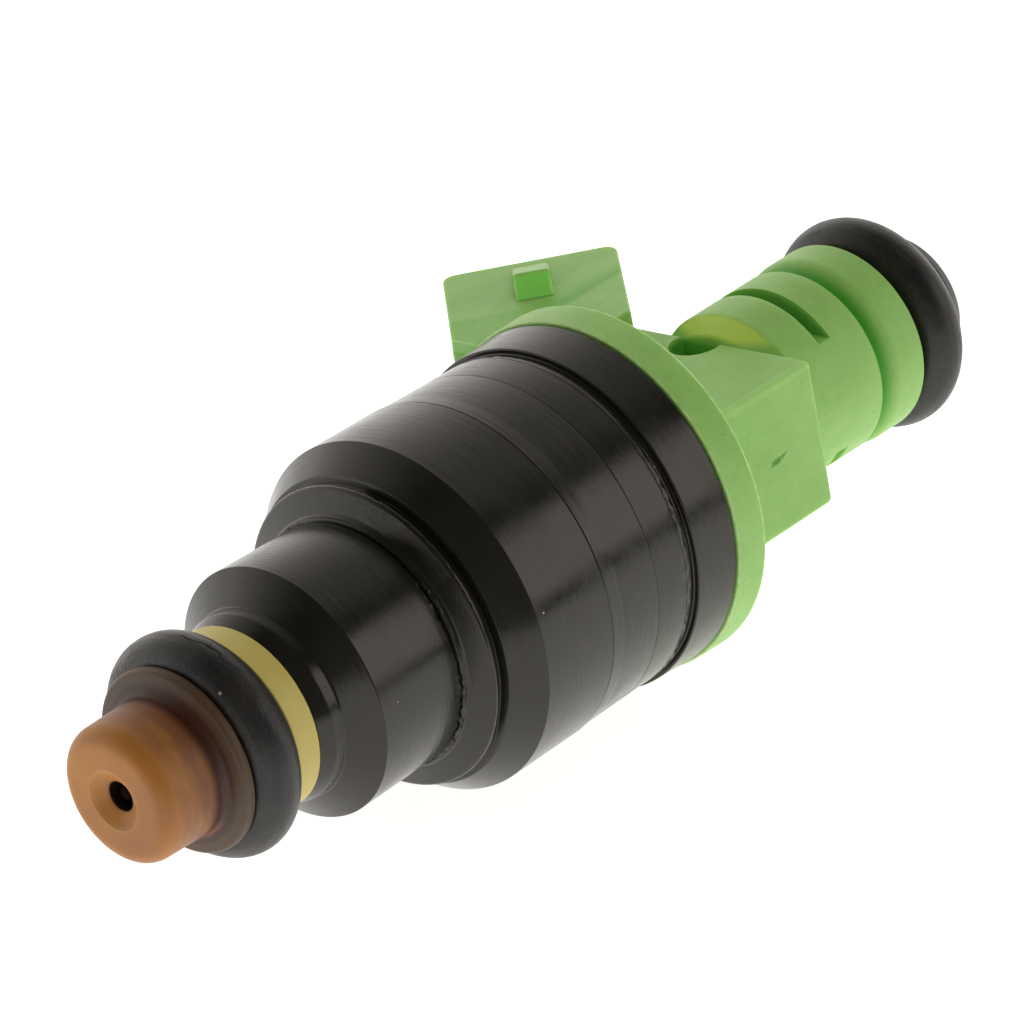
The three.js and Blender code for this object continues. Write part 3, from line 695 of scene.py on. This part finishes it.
def tip_shaded_steel(g):
    """Bright turned steel, with painted shade on the needle's very tip, where it sits in the dark
    spray hole.
    """
    made = turned_steel((0.42, 0.42, 0.43, 1), (0.55, 0.55, 0.55, 1))(g)
    x, _, _ = g.parts(g.place())
    # painted shade: the tip is dark, dull and not metallic
    unshaded = g.rise(x, 3.0, 4.0)
    made["Base_Color"] = g.mix(unshaded, (0.014, 0.008, 0.004, 1), made["Base_Color"])
    made["Roughness"] = g.math("MAXIMUM", made["Roughness"], g.math("SUBTRACT", 0.6, unshaded))
    made["Metallic"] = unshaded
    made["Specular_IOR_Level"] = g.times(unshaded, 0.5)
    return made


def moulded_nylon(low, high):
    """Dull moulded nylon with a fine grain."""
    def build(g):
        point = g.place()
        grain = g.noise(point, 8.0, 4.0, 0.6)
        cloud = g.noise(point, 0.7, 3.0)
        rough = g.rise(grain, 0.3, 0.7, 0.42, 0.58)
        return {"Base_Color": g.mix(cloud, low, high), "Roughness": rough,
                "Normal": g.bump(grain, 0.015, 0.5)}
    return build


def copper_wire(g):
    """Enamelled copper wire, wound in close turns."""
    point = g.place()
    x, _, _ = g.parts(point)
    wire = 0.22
    turn = g.math("ABSOLUTE", g.math("SINE", g.times(x, math.pi / wire)))
    cloud = g.noise(point, 1.5, 3.0)
    colour = g.mix(cloud, linear(150, 78, 38), linear(190, 108, 58))
    # painted shade in the hollows between the turns
    colour = g.mix(g.rise(turn, 0.35, 0.0), colour, linear(70, 32, 16))
    return {"Base_Color": colour, "Roughness": g.rise(cloud, 0.3, 0.7, 0.28, 0.4),
            "Normal": g.bump(turn, 0.08, 1.0)}


def woven_gauze(g):
    """Fine woven nylon gauze."""
    point = g.place()
    x, y, z = g.parts(point)
    pitch, sleeve_radius = 0.16, 1.85
    around = g.times(g.math("ARCTAN2", y, z), sleeve_radius)
    warp = g.math("ABSOLUTE", g.math("SINE", g.times(x, math.pi / pitch)))
    weft = g.math("ABSOLUTE", g.math("SINE", g.times(around, math.pi / pitch)))
    threads = g.math("MAXIMUM", warp, weft)
    colour = g.mix(g.rise(threads, 0.5, 0.9), linear(120, 112, 96), linear(214, 208, 190))
    return {"Base_Color": colour, "Roughness": g.rise(threads, 0.4, 1.0, 0.8, 0.6),
            "Normal": g.bump(threads, 0.04, 0.8)}


COATING = material("black_coating", black_coating, Specular_IOR_Level=0.5,
                   Specular_Tint=(1.0, 0.97, 0.89, 1.0))
RUBBER = material("seal_rubber", seal_rubber, Specular_IOR_Level=0.5)
AMBER = material("amber_plastic", amber_plastic, Subsurface_Weight=0.3, Subsurface_Scale=MM,
                 Subsurface_Radius=(1.0, 0.5, 0.2))
YELLOW = material("yellow_plastic", yellow_plastic, Subsurface_Weight=0.1, Subsurface_Scale=MM)
GREEN = material("green_plastic", green_plastic, Subsurface_Weight=0.5, Subsurface_Scale=MM,
                 Subsurface_Radius=(0.7, 1.0, 0.35), Specular_IOR_Level=0.42)
VALVE_STEEL = material("valve_steel", tip_shaded_steel)
MAGNET_STEEL = material("magnet_steel", turned_steel((0.33, 0.33, 0.31, 1), (0.45, 0.44, 0.42, 1)),
                        Metallic=1.0)
SPRING_STEEL = material("spring_steel", turned_steel((0.3, 0.3, 0.31, 1), (0.4, 0.4, 0.4, 1)),
                        Metallic=1.0)
TIN = material("tinned_brass", turned_steel((0.52, 0.52, 0.5, 1), (0.66, 0.65, 0.62, 1)), Metallic=1.0)
BOBBIN = material("bobbin_plastic", moulded_nylon(linear(52, 52, 50), linear(66, 65, 62)))
FILTER = material("filter_plastic", moulded_nylon(linear(112, 112, 112), linear(128, 128, 128)))
COPPER = material("copper_wire", copper_wire, Metallic=1.0)
GAUZE = material("filter_gauze", woven_gauze)

FINISHES = {
    "amber_plastic": AMBER, "seal_rubber": RUBBER, "yellow_plastic": YELLOW,
    "valve_steel": VALVE_STEEL, "magnet_steel": MAGNET_STEEL, "spring_steel": SPRING_STEEL,
    "bobbin_plastic": BOBBIN, "copper_wire": COPPER, "black_coating": COATING,
    "green_plastic": GREEN, "tinned_brass": TIN, "filter_plastic": FILTER, "filter_gauze": GAUZE,
}
SLOTS = {s["node"]: s["material_slot"] for s in frame["record"]["subparts"]}
BODIES = {
    node: body for body, nodes in frame["record"]["behaviour"]["bodies"].items() for node in nodes
}


def stand_in(node, shape, sharp=32):
    """Finishes a piece that stands for one CAD node, with that node's finish and body."""
    piece = finished(node + "_detail", shape, FINISHES[SLOTS[node]], sharp)
    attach(piece, BODIES[node])
    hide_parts(node)
    return piece


# ---------- camera ----------

def make_camera():
    azimuth, elevation, roll = math.radians(-48.19), math.radians(33.04), math.radians(-0.76)
    distance = 0.370
    aim = (cad_low + cad_high) / 2 + Vector((-4.64, -6.92, 4.99)) * MM
    forward = Vector((
        -math.sin(azimuth) * math.cos(elevation),
        math.cos(azimuth) * math.cos(elevation),
        -math.sin(elevation),
    ))
    level = forward.to_track_quat("-Z", "Y").to_matrix().to_4x4()
    camera = bpy.data.objects.new("camera", bpy.data.cameras.new("camera"))
    camera.data.lens = 214.8
    camera.data.sensor_width = 36
    camera.data.clip_start = 0.01
    camera.matrix_world = (
        Matrix.Translation(aim - forward * distance) @ level @ Matrix.Rotation(roll, 4, "Z"))
    bpy.context.scene.collection.objects.link(camera)
    bpy.context.scene.camera = camera


# ---------- spray end ----------

def make_pintle_cap():
    _, sleeve_end = span("pintle_cap")
    outline = rounded([
        (CAP_HOLE_DEPTH, CAP_HOLE_RADIUS),
        (CAP_RIM_DEPTH, CAP_HOLE_RADIUS, 0.06),
        (0.0, CAP_RIM_RADIUS, 0.1),
        (0.0, CAP_RADIUS, CAP_TIP_ROUNDING),
        (CAP_FLANGE_FRONT - 0.28, CAP_BASE_RADIUS, 0.55),
        (CAP_FLANGE_FRONT, CAP_FLANGE_RADIUS, 0.32),
        (CAP_FLANGE_BACK, CAP_FLANGE_RADIUS, 0.1),
        (CAP_FLANGE_BACK, CAP_SLEEVE_RADIUS, 0.1),
        (sleeve_end, CAP_SLEEVE_RADIUS, 0.15),
        (sleeve_end, CAP_BORE, 0.1),
        (CAP_BORE_START, CAP_BORE, 0.1),
    ])
    stand_in("pintle_cap", turned(outline))


def make_o_ring(node):
    start, end = span(node)
    middle = (start + end) / 2
    steps = 48
    most_dent = 0.02
    outline = []
    for k in range(steps):
        angle = 2 * math.pi * k / steps
        outline.append((
            middle + ORING_WIRE * math.cos(angle),
            ORING_CENTRE + ORING_WIRE * math.sin(angle),
        ))

    def uneven(x, radius, angle):
        """Slight moulding unevenness, always inward of the true section."""
        spot = Vector((x, 3 * math.cos(angle), 3 * math.sin(angle)))
        kept = 1 - most_dent * (0.5 + 0.5 * noise.noise(spot * 0.6))
        return middle + (x - middle) * kept, ORING_CENTRE + (radius - ORING_CENTRE) * kept

    stand_in(node, turned(outline, uneven=uneven), sharp=60)


def make_spacer_washer():
    start, end = span("spacer_washer")
    outline = rounded([
        (start, WASHER_BORE, 0.1),
        (start, WASHER_RADIUS, 0.14),
        (end, WASHER_RADIUS, 0.14),
        (end, WASHER_BORE, 0.1),
    ])
    stand_in("spacer_washer", turned(outline))


# ---------- housing and clamp ring ----------

# where the coating is ragged: x, reach to either side, the most that it moves along and out,
# and the angle round the axis where it is worst
RAGGED_EDGES = [
    (COLLAR_END + 0.05, 0.3, 0.2, 0.16, 222),
    (SHOULDER + 0.2, 0.3, 0.05, 0.04, 110),
    (BARREL_END - 0.16, 0.3, 0.12, 0.1, 200),
]
# the angles between which the shoulder's groove is open
GROOVE_OPEN = (104, 200)


def share(value, low, high):
    """A smooth step from 0 to 1 as value goes from low to high."""
    t = min(1.0, max(0.0, (value - low) / (high - low)))
    return t * t * (3 - 2 * t)


def flash(x, radius, angle):
    """Ragged coating beside the grooves. It part-fills the shoulder's groove outside GROOVE_OPEN."""
    spot = Vector((x * 0.5, radius * math.cos(angle), radius * math.sin(angle)))
    ragged = noise.noise(spot * 2.4) + 0.6 * noise.noise(spot * 6.1)
    patch = max(0.0, 0.6 * noise.noise(spot * 0.23 + Vector((4.0, 0, 0))))
    degrees = math.degrees(angle)
    if SHOULDER + 0.25 < x < CONE_START[0] - 0.02:
        soft, thickness = 7, 0.3
        filled = 1 - share(degrees, GROOVE_OPEN[0] - soft, GROOVE_OPEN[0])
        filled = max(filled, share(degrees, GROOVE_OPEN[1], GROOVE_OPEN[1] + 3 * soft))
        return x, radius + thickness * filled
    for edge, reach, along, out, worst in RAGGED_EDGES:
        if abs(x - edge) < reach and radius > COLLAR_RADIUS - 0.7:
            near = max(0.0, math.cos(angle - math.radians(worst))) ** 4
            move = ragged * min(1.0, 0.08 + patch + near)
            fade = 1 - (abs(x - edge) / reach) ** 2
            return x + along * fade * move, radius + out * fade * move
    return x, radius


def make_housing():
    start, end = span("housing")
    outline = rounded([
        (start, TIP_BORE, 0.1),
        (start, NOSE_START_RADIUS, 0.04),
        (*NOSE_LAND, 0.5),
        (*NOSE_EDGE, 0.25),
        (COLLAR_START, COLLAR_RADIUS, 0.1),
        (COLLAR_END - 0.35, COLLAR_RADIUS - 0.148),
        (COLLAR_END, COLLAR_RADIUS - 0.15, 0.02),
        (COLLAR_END + 0.04, COLLAR_RADIUS - 0.26, 0.02),
        (COLLAR_END + 0.09, COLLAR_RADIUS - 0.26, 0.02),
        (COLLAR_END + 0.14, COLLAR_RADIUS + 0.02, 0.06),
        (*COVE_STEP, 0.3),
        (SHOULDER - 0.08, SHOULDER_RADIUS - 0.16, 0.1),
        (SHOULDER + 0.02, SHOULDER_RADIUS, 0.16),
        (SHOULDER + 0.22, SHOULDER_RADIUS, 0.06),
        (*SHOULDER_GROOVE, 0.08),
        (CONE_START[0] - 0.12, SHOULDER_GROOVE[1], 0.08),
        (*CONE_START, 0.05),
        (BARREL_START, BARREL_RADIUS - 0.03, 0.06),
        (BARREL_STEP - 0.03, BARREL_RADIUS - 0.09, 0.02),
        (BARREL_STEP + 0.01, BARREL_RADIUS - 0.2, 0.01),
        (BARREL_STEP + 0.1, BARREL_RADIUS - 0.12, 0.02),
        (BARREL_STEP + 1.2, BARREL_RADIUS - 0.2, 0.5),
        *scratch(BARREL_LINE, BARREL_RADIUS - 0.255, 0.03, width=0.07),
        (end - 0.8, BARREL_RADIUS - 0.27),
        (end - 0.42, BARREL_RADIUS - 0.275, 0.02),
        (end - 0.38, BARREL_RADIUS - 0.33, 0.01),
        (end - 0.33, BARREL_RADIUS - 0.29, 0.01),
        (end, BARREL_RADIUS - 0.31, 0.06),
        (end, COIL_ROOM[1], 0.1),
        (*COIL_ROOM, 0.2),
        (COIL_ROOM[0], ARMATURE_BORE[1], 0.2),
        (*ARMATURE_BORE, 0.1),
        (ARMATURE_BORE[0], NOZZLE_BORE[1], 0.1),
        (*NOZZLE_BORE, 0.1),
        (NOZZLE_BORE[0], TIP_BORE, 0.05),
    ])
    stand_in("housing", turned(outline, sides=288, uneven=flash))


def make_clamp_ring():
    start, end = span("clamp_ring")
    outline = rounded([
        (start - RING_LIP, RING_INNER, 0.05),
        (start - RING_LIP, RING_OUTER - RING_LIP, 0.05),
        (start, RING_OUTER - RING_LIP, 0.1),
        (start, RING_OUTER, 0.1),
        (end, RING_OUTER + 0.14, 0.1),
        (end, RING_INNER, 0.05),
    ])
    stand_in("clamp_ring", turned(outline))


# ---------- connector body ----------

ALONG = Vector((math.cos(LEAN), math.sin(LEAN)))
OUTWARD = Vector((-ALONG.y, ALONG.x))


def socket_point(depth, across):
    """A point in X and Y from its depth below the socket's mouth and its place across it."""
    point = Vector(MOUTH) - ALONG * depth + OUTWARD * across
    return point.x, point.y


def mouth_corner(side):
    """The rounded corner of the socket's outline at its mouth, on one side (1 or -1)."""
    steps = 6
    points = []
    for k in range(steps + 1):
        angle = math.pi / 2 * k / steps
        across = SOCKET_THICK / 2 - SOCKET_CORNER + SOCKET_CORNER * math.cos(angle)
        points.append(socket_point(SOCKET_CORNER * (1 - math.sin(angle)), side * across))
    return points if side > 0 else points[::-1]


def connector_arm(flange_start):
    """The solid arm that leans out of the flange, with the socket's outside at its end."""
    foot_x, foot_y = flange_start + 1, 4.0
    inner_reach = (MOUTH[1] - foot_y - SOCKET_THICK / 2 * OUTWARD.y) / ALONG.y
    outer_foot = socket_point(11.1, SOCKET_THICK / 2)
    outline = [
        *mouth_corner(1),
        *mouth_corner(-1),
        socket_point(inner_reach, -SOCKET_THICK / 2),
        (foot_x, foot_y),
        (foot_x, outer_foot[1] - 1.2),
        outer_foot,
    ]
    return prism(outline, -SOCKET_HALF, SOCKET_HALF, rounding=0.16, steps=3)


def latch(side):
    """The wedge that the plug's clip snaps over, on one side of the socket (1 or -1)."""
    wedge = prism([(LATCH_START, -0.4), (LATCH_START, 0.05), (LATCH_END - 0.25, LATCH_HEIGHT),
                   (LATCH_END + 0.5, -0.4)], -LATCH_WIDTH / 2, LATCH_WIDTH / 2, rounding=0.22, steps=3)
    x, y = socket_point(0, 0)
    axes = Matrix((
        (-ALONG.x, 0, OUTWARD.x, x),
        (-ALONG.y, 0, OUTWARD.y, y),
        (0, side, 0, side * SOCKET_HALF),
        (0, 0, 0, 1),
    ))
    bmesh.ops.transform(wedge, matrix=axes, verts=wedge.verts)
    return wedge


def socket_hollow():
    half = SOCKET_THICK / 2 - SOCKET_WALL
    width = SOCKET_HALF - SOCKET_WALL
    outline = [socket_point(d, a) for d, a in
               [(-2, half), (-2, -half), (SOCKET_DEPTH, -half), (SOCKET_DEPTH, half)]]
    return prism(outline, -width, width, rounding=0.35, steps=3)


def socket_chamfer():
    """A shallow flare that softens the socket's inner rim."""
    flare = 0.22
    half = SOCKET_THICK / 2 - SOCKET_WALL
    width = SOCKET_HALF - SOCKET_WALL
    shape = bmesh.new()
    rings = []
    for depth, grow in [(-0.5, flare + 0.5), (flare, 0.0)]:
        ring = []
        for a, z in [(1, 1), (1, -1), (-1, -1), (-1, 1)]:
            x, y = socket_point(depth, a * (half + grow))
            ring.append(shape.verts.new((x, y, z * (width + grow))))
        rings.append(ring)
    shape.faces.new(rings[0])
    shape.faces.new(rings[1])
    for i in range(4):
        n = (i + 1) % 4
        shape.faces.new((rings[0][i], rings[0][n], rings[1][n], rings[1][i]))
    return shape


def blade_outline(margin, tip_depth, tip_taper=0.0):
    """A bent blade's side view, grown by margin, with its tip at a depth in the socket."""
    half = BLADE_THICK / 2 + margin
    corner = half * math.tan(LEAN / 2)
    foot_x, foot_y = BLADE_FOOT
    bend_x = MOUTH[0] - (MOUTH[1] - foot_y) / math.tan(LEAN)
    taper = 0.9
    tip = [(tip_depth + taper, -half), (tip_depth, -half + tip_taper),
           (tip_depth, half - tip_taper), (tip_depth + taper, half)]
    return [
        (foot_x - margin, foot_y - half),
        (bend_x + corner, foot_y - half),
        *[socket_point(d, a) for d, a in tip],
        (bend_x - corner, foot_y + half),
        (foot_x - margin, foot_y + half),
    ]


def terminal_channel(z):
    """The room that a blade passes through, below the socket's floor."""
    margin = 0.2
    half = BLADE_WIDTH / 2 + margin
    return prism(blade_outline(margin, SOCKET_DEPTH - 1), z - half, z + half)


def neck():
    return turned(rounded([
        (BLOCK_END - 0.2, 0.0),
        (BLOCK_END - 0.2, BLOCK_HALF - 0.05),
        (BLOCK_END, 5.35, 0.1),
        (BLOCK_END + 1, NECK_RADIUS - 0.05, 0.35),
        (GROOVE_START, NECK_RADIUS, 0.12),
        (GROOVE_START, GROOVE_RADIUS, 0.2),
        (GROOVE_FLOOR_END, GROOVE_RADIUS, 0.5),
        (GROOVE_END, NECK_COLLAR_RADIUS, 0.9),
        (NECK_END, NECK_COLLAR_RADIUS, 0.16),
        (NECK_END, 0.0),
    ]))


def gate_marks():
    """The shallow scars that the mould's gate left on the block's flat face."""
    made = []
    for beyond, z, size in [(-0.35, -0.14, 0.42), (0.05, -0.03, 0.5), (0.4, 0.06, 0.3)]:
        shape = bmesh.new()
        bmesh.ops.create_uvsphere(shape, u_segments=24, v_segments=12, radius=size)
        bmesh.ops.scale(shape, vec=(1.0, 0.5, 0.45), verts=shape.verts)
        place = (GATE_X + beyond, BLOCK_FLAT - 0.3 * size, z)
        bmesh.ops.translate(shape, vec=place, verts=shape.verts)
        made.append(shape)
    return made


def make_connector_body():
    flange_start, _ = span("connector_body")
    flange = turned(rounded([
        (flange_start, 0.0),
        (flange_start, FLANGE_RADIUS - 0.06, 0.14),
        (FLANGE_END, FLANGE_RADIUS, 0.16),
        (FLANGE_END, 0.0),
    ]))
    block = box((FLANGE_END - 1, BLOCK_FLAT, -BLOCK_HALF), (BLOCK_END, 9, BLOCK_HALF), rounding=0.42)
    pocket = turned([(-POCKET_DEPTH, 0.0), (-POCKET_DEPTH, POCKET_RADIUS - 0.06), (0.0, POCKET_RADIUS),
                     (0.5, POCKET_RADIUS + 0.3), (0.5, 0.0)], sides=64)
    bmesh.ops.transform(pocket, verts=pocket.verts, matrix=Matrix.Translation(
        (*POCKET, BLOCK_HALF)) @ Matrix.Rotation(-math.pi / 2, 4, "Y"))
    bore = turned([(flange_start - 1, 0.0), (flange_start - 1, NECK_BORE), (NECK_END + 1, NECK_BORE),
                   (NECK_END + 1, 0.0)], sides=96)
    clear = 9
    slots = [
        box((SLOT_START, -clear, SLOT_FLOOR), (SLOT_END, clear, clear)),
        box((SLOT_START, -clear, -clear), (SLOT_END, clear, -SLOT_FLOOR)),
    ]
    channels = [terminal_channel(z) for z in (BLADE_PITCH / 2, -BLADE_PITCH / 2)]
    body = combined(block, [], [pocket, *gate_marks()])
    body = combined(
        body,
        [flange, connector_arm(flange_start), latch(1), latch(-1), neck()],
        [bore, socket_hollow(), socket_chamfer(), *slots, *channels],
    )
    stand_in("connector_body", body)


def make_terminal(node, z):
    outline = blade_outline(0, BLADE_RECESS, tip_taper=0.22)
    shape = prism(outline, z - BLADE_WIDTH / 2, z + BLADE_WIDTH / 2, rounding=0.08, steps=2)
    stand_in(node, shape)


# ---------- inlet end ----------

def make_filter_frame():
    start, end = span("filter_frame")
    rim_start, rim = FILTER_RIM
    ridges = []
    for k in range(4):
        ridges += scratch(rim_start + 0.35 + 0.3 * k, rim, 0.16, width=0.1)
    cup = turned(rounded([
        (start, 0.0),
        (start, FILTER_RADIUS, 0.2),
        (rim_start, FILTER_RADIUS),
        (rim_start, rim, 0.12),
        *ridges,
        (end, rim, 0.3),
        (end, FILTER_BORE + 0.3, 0.2),
        (end - 0.4, FILTER_BORE, 0.1),
        (start + 0.7, FILTER_BORE),
        (start + 0.7, 0.0),
    ]), sides=144)
    half, reach = FILTER_WINDOW / 2, 4.0
    windows = [
        box((start + 1.4, -reach, -half), (FILTER_WINDOWS_END, reach, half), rounding=0.15),
        box((start + 1.4, -half, -reach), (FILTER_WINDOWS_END, half, reach), rounding=0.15),
    ]
    stand_in("filter_frame", combined(cup, [], windows))


def make_inlet_core():
    start, end = span("inlet_core")
    flange_start, flange_end, flange_radius = CORE_FLANGE
    seat_start, seat_radius = TUBE_SEAT
    bore_start, bore_radius = TUBE_BORE
    tube = turned(rounded([
        (start, CORE_BORE, 0.1),
        (start, CORE_RADIUS, 0.2),
        (flange_start, CORE_RADIUS, 0.1),
        (flange_start, flange_radius, 0.15),
        (flange_end, flange_radius, 0.15),
        (flange_end, TUBE_RADIUS, 0.1),
        (seat_start, TUBE_RADIUS),
        (seat_start, seat_radius, 0.1),
        (end, seat_radius, 0.15),
        (end, bore_radius, 0.1),
        (bore_start, bore_radius, 0.1),
        (bore_start, CORE_BORE, 0.1),
    ]), sides=144)
    half = BLADE_PITCH / 2 + BLADE_WIDTH / 2 + 0.5
    notch = box((flange_start - 1, BLADE_FOOT[1] - 1, -half), (flange_end + 1, 12, half))
    stand_in("inlet_core", combined(tube, [], [notch]))


def make_needle():
    start, end = span("needle")
    collar_start, collar_end, collar_radius = NEEDLE_COLLAR
    outline = rounded([
        (start, 0.0),
        (start, PINTLE_RADIUS, 0.12),
        (NEEDLE_CONE[0], PINTLE_RADIUS),
        (NEEDLE_CONE[1], NEEDLE_RADIUS, 0.1),
        (collar_start, NEEDLE_RADIUS),
        (collar_start, collar_radius, 0.08),
        (collar_end, collar_radius, 0.08),
        (collar_end, NEEDLE_RADIUS),
        (end, NEEDLE_RADIUS, 0.15),
        (end, 0.0),
    ])
    stand_in("needle", turned(outline, sides=96))


def make_return_spring():
    """A wire coil of SPRING_TURNS turns, on a mesh of its own."""
    start, end = SPRING
    sides, steps = 12, SPRING_TURNS * 24
    shape = bmesh.new()
    rings = []
    for k in range(steps + 1):
        turn = 2 * math.pi * SPRING_TURNS * k / steps
        outward = Vector((0, math.cos(turn), math.sin(turn)))
        centre = Vector((start + (end - start) * k / steps, 0, 0)) + outward * SPRING_RADIUS
        ring = []
        for n in range(sides):
            angle = 2 * math.pi * n / sides
            offset = outward * math.cos(angle) + Vector((math.sin(angle), 0, 0))
            ring.append(shape.verts.new(centre + offset * SPRING_WIRE))
        rings.append(ring)
    for one, two in zip(rings, rings[1:]):
        for n in range(sides):
            m = (n + 1) % sides
            shape.faces.new((one[n], two[n], two[m], one[m]))
    shape.faces.new(rings[0])
    shape.faces.new(rings[-1])
    piece = stand_in("return_spring", shape, sharp=60)
    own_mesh(piece)


# ---------- studio ----------

WARM = (1.0, 0.955, 0.9, 1.0)


def make_floor():
    """A pale floor that glows a little, as a light table does."""
    def pale(g):
        point = g.add("TexCoord", output=3)
        cloud = g.noise(point, 3.0, 2.0)
        return {"Base_Color": g.mix(cloud, (0.65, 0.65, 0.65, 1), (0.67, 0.67, 0.67, 1))}

    made = material("pale_floor", pale, Roughness=0.9, Specular_IOR_Level=0.0,
                    Emission_Color=(1.0, 0.98, 0.95, 1.0), Emission_Strength=0.95)
    mesh = bpy.data.meshes.new("floor")
    shape = bmesh.new()
    bmesh.ops.create_grid(shape, x_segments=1, y_segments=1, size=4.0)
    shape.to_mesh(mesh)
    shape.free()
    mesh.materials.append(made)
    floor = bpy.data.objects.new("floor", mesh)
    floor.location.z = cad_low.z - 0.0001
    bpy.context.scene.collection.objects.link(floor)


def make_lamp():
    """A wide soft lamp overhead, which no glossy surface mirrors."""
    lamp = bpy.data.lights.new("overhead", "AREA")
    lamp.shape = "DISK"
    lamp.size = 1.0
    lamp.energy = 4.2
    lamp.color = WARM[:3]
    placed = bpy.data.objects.new("overhead", lamp)
    placed.location = (0.0, -0.25, 1.2)
    placed.rotation_euler = (math.radians(-12), 0, 0)
    placed.visible_glossy = False
    placed.visible_camera = False
    bpy.context.scene.collection.objects.link(placed)


def make_studio():
    """Soft light from all round: a bright sweep behind, a panel at the side and a faint fill."""
    world = bpy.data.worlds.new("studio")
    world.use_nodes = True
    bpy.context.scene.world = world
    g = Graph(world.node_tree)
    direction = g.add("TexCoord", output=0)
    x, y, z = g.parts(direction)
    up = g.times(g.math("ARCSINE", z), 180 / math.pi)
    turn = g.times(g.math("ARCTAN2", y, x), 180 / math.pi)
    fade = g.add("MapRange", {"Value": up, "From Min": 0.0, "From Max": 68.0,
                              "To Min": 1.42, "To Max": 0.0})
    sweep = g.times(g.rise(turn, -32, 2), g.rise(turn, 165, 112), fade)
    panel = g.times(g.band(turn, -66, -34, 7), g.band(up, 8, 38, 4), 1.55)
    fill = g.times(g.rise(turn, -85, -120), g.rise(up, 75, 20, 0.02, 0.1))
    light = g.plus(sweep, panel, fill, 0.04)
    # the camera sees plain white
    seen = g.add("LightPath", output=0)
    light = g.add("Mix", {0: seen, 2: light, 3: 1.1}, data_type="FLOAT")
    shader = world.node_tree.nodes["Background"]
    g.tree.links.new(light, shader.inputs["Strength"])
    shader.inputs["Color"].default_value = WARM
    view = bpy.context.scene.view_settings
    view.view_transform = "Standard"
    view.look = "None"


make_camera()
make_pintle_cap()
make_o_ring("lower_o_ring")
make_spacer_washer()
make_housing()
make_clamp_ring()
make_connector_body()
make_terminal("terminal_upper", BLADE_PITCH / 2)
make_terminal("terminal_lower", -BLADE_PITCH / 2)
make_filter_frame()
make_inlet_core()
make_needle()
make_return_spring()
make_o_ring("upper_o_ring")

for carried, cad_object in frame["nodes"].items():
    cad_object.data.materials.clear()
    cad_object.data.materials.append(FINISHES[SLOTS[carried]])

make_floor()
make_lamp()
make_studio()
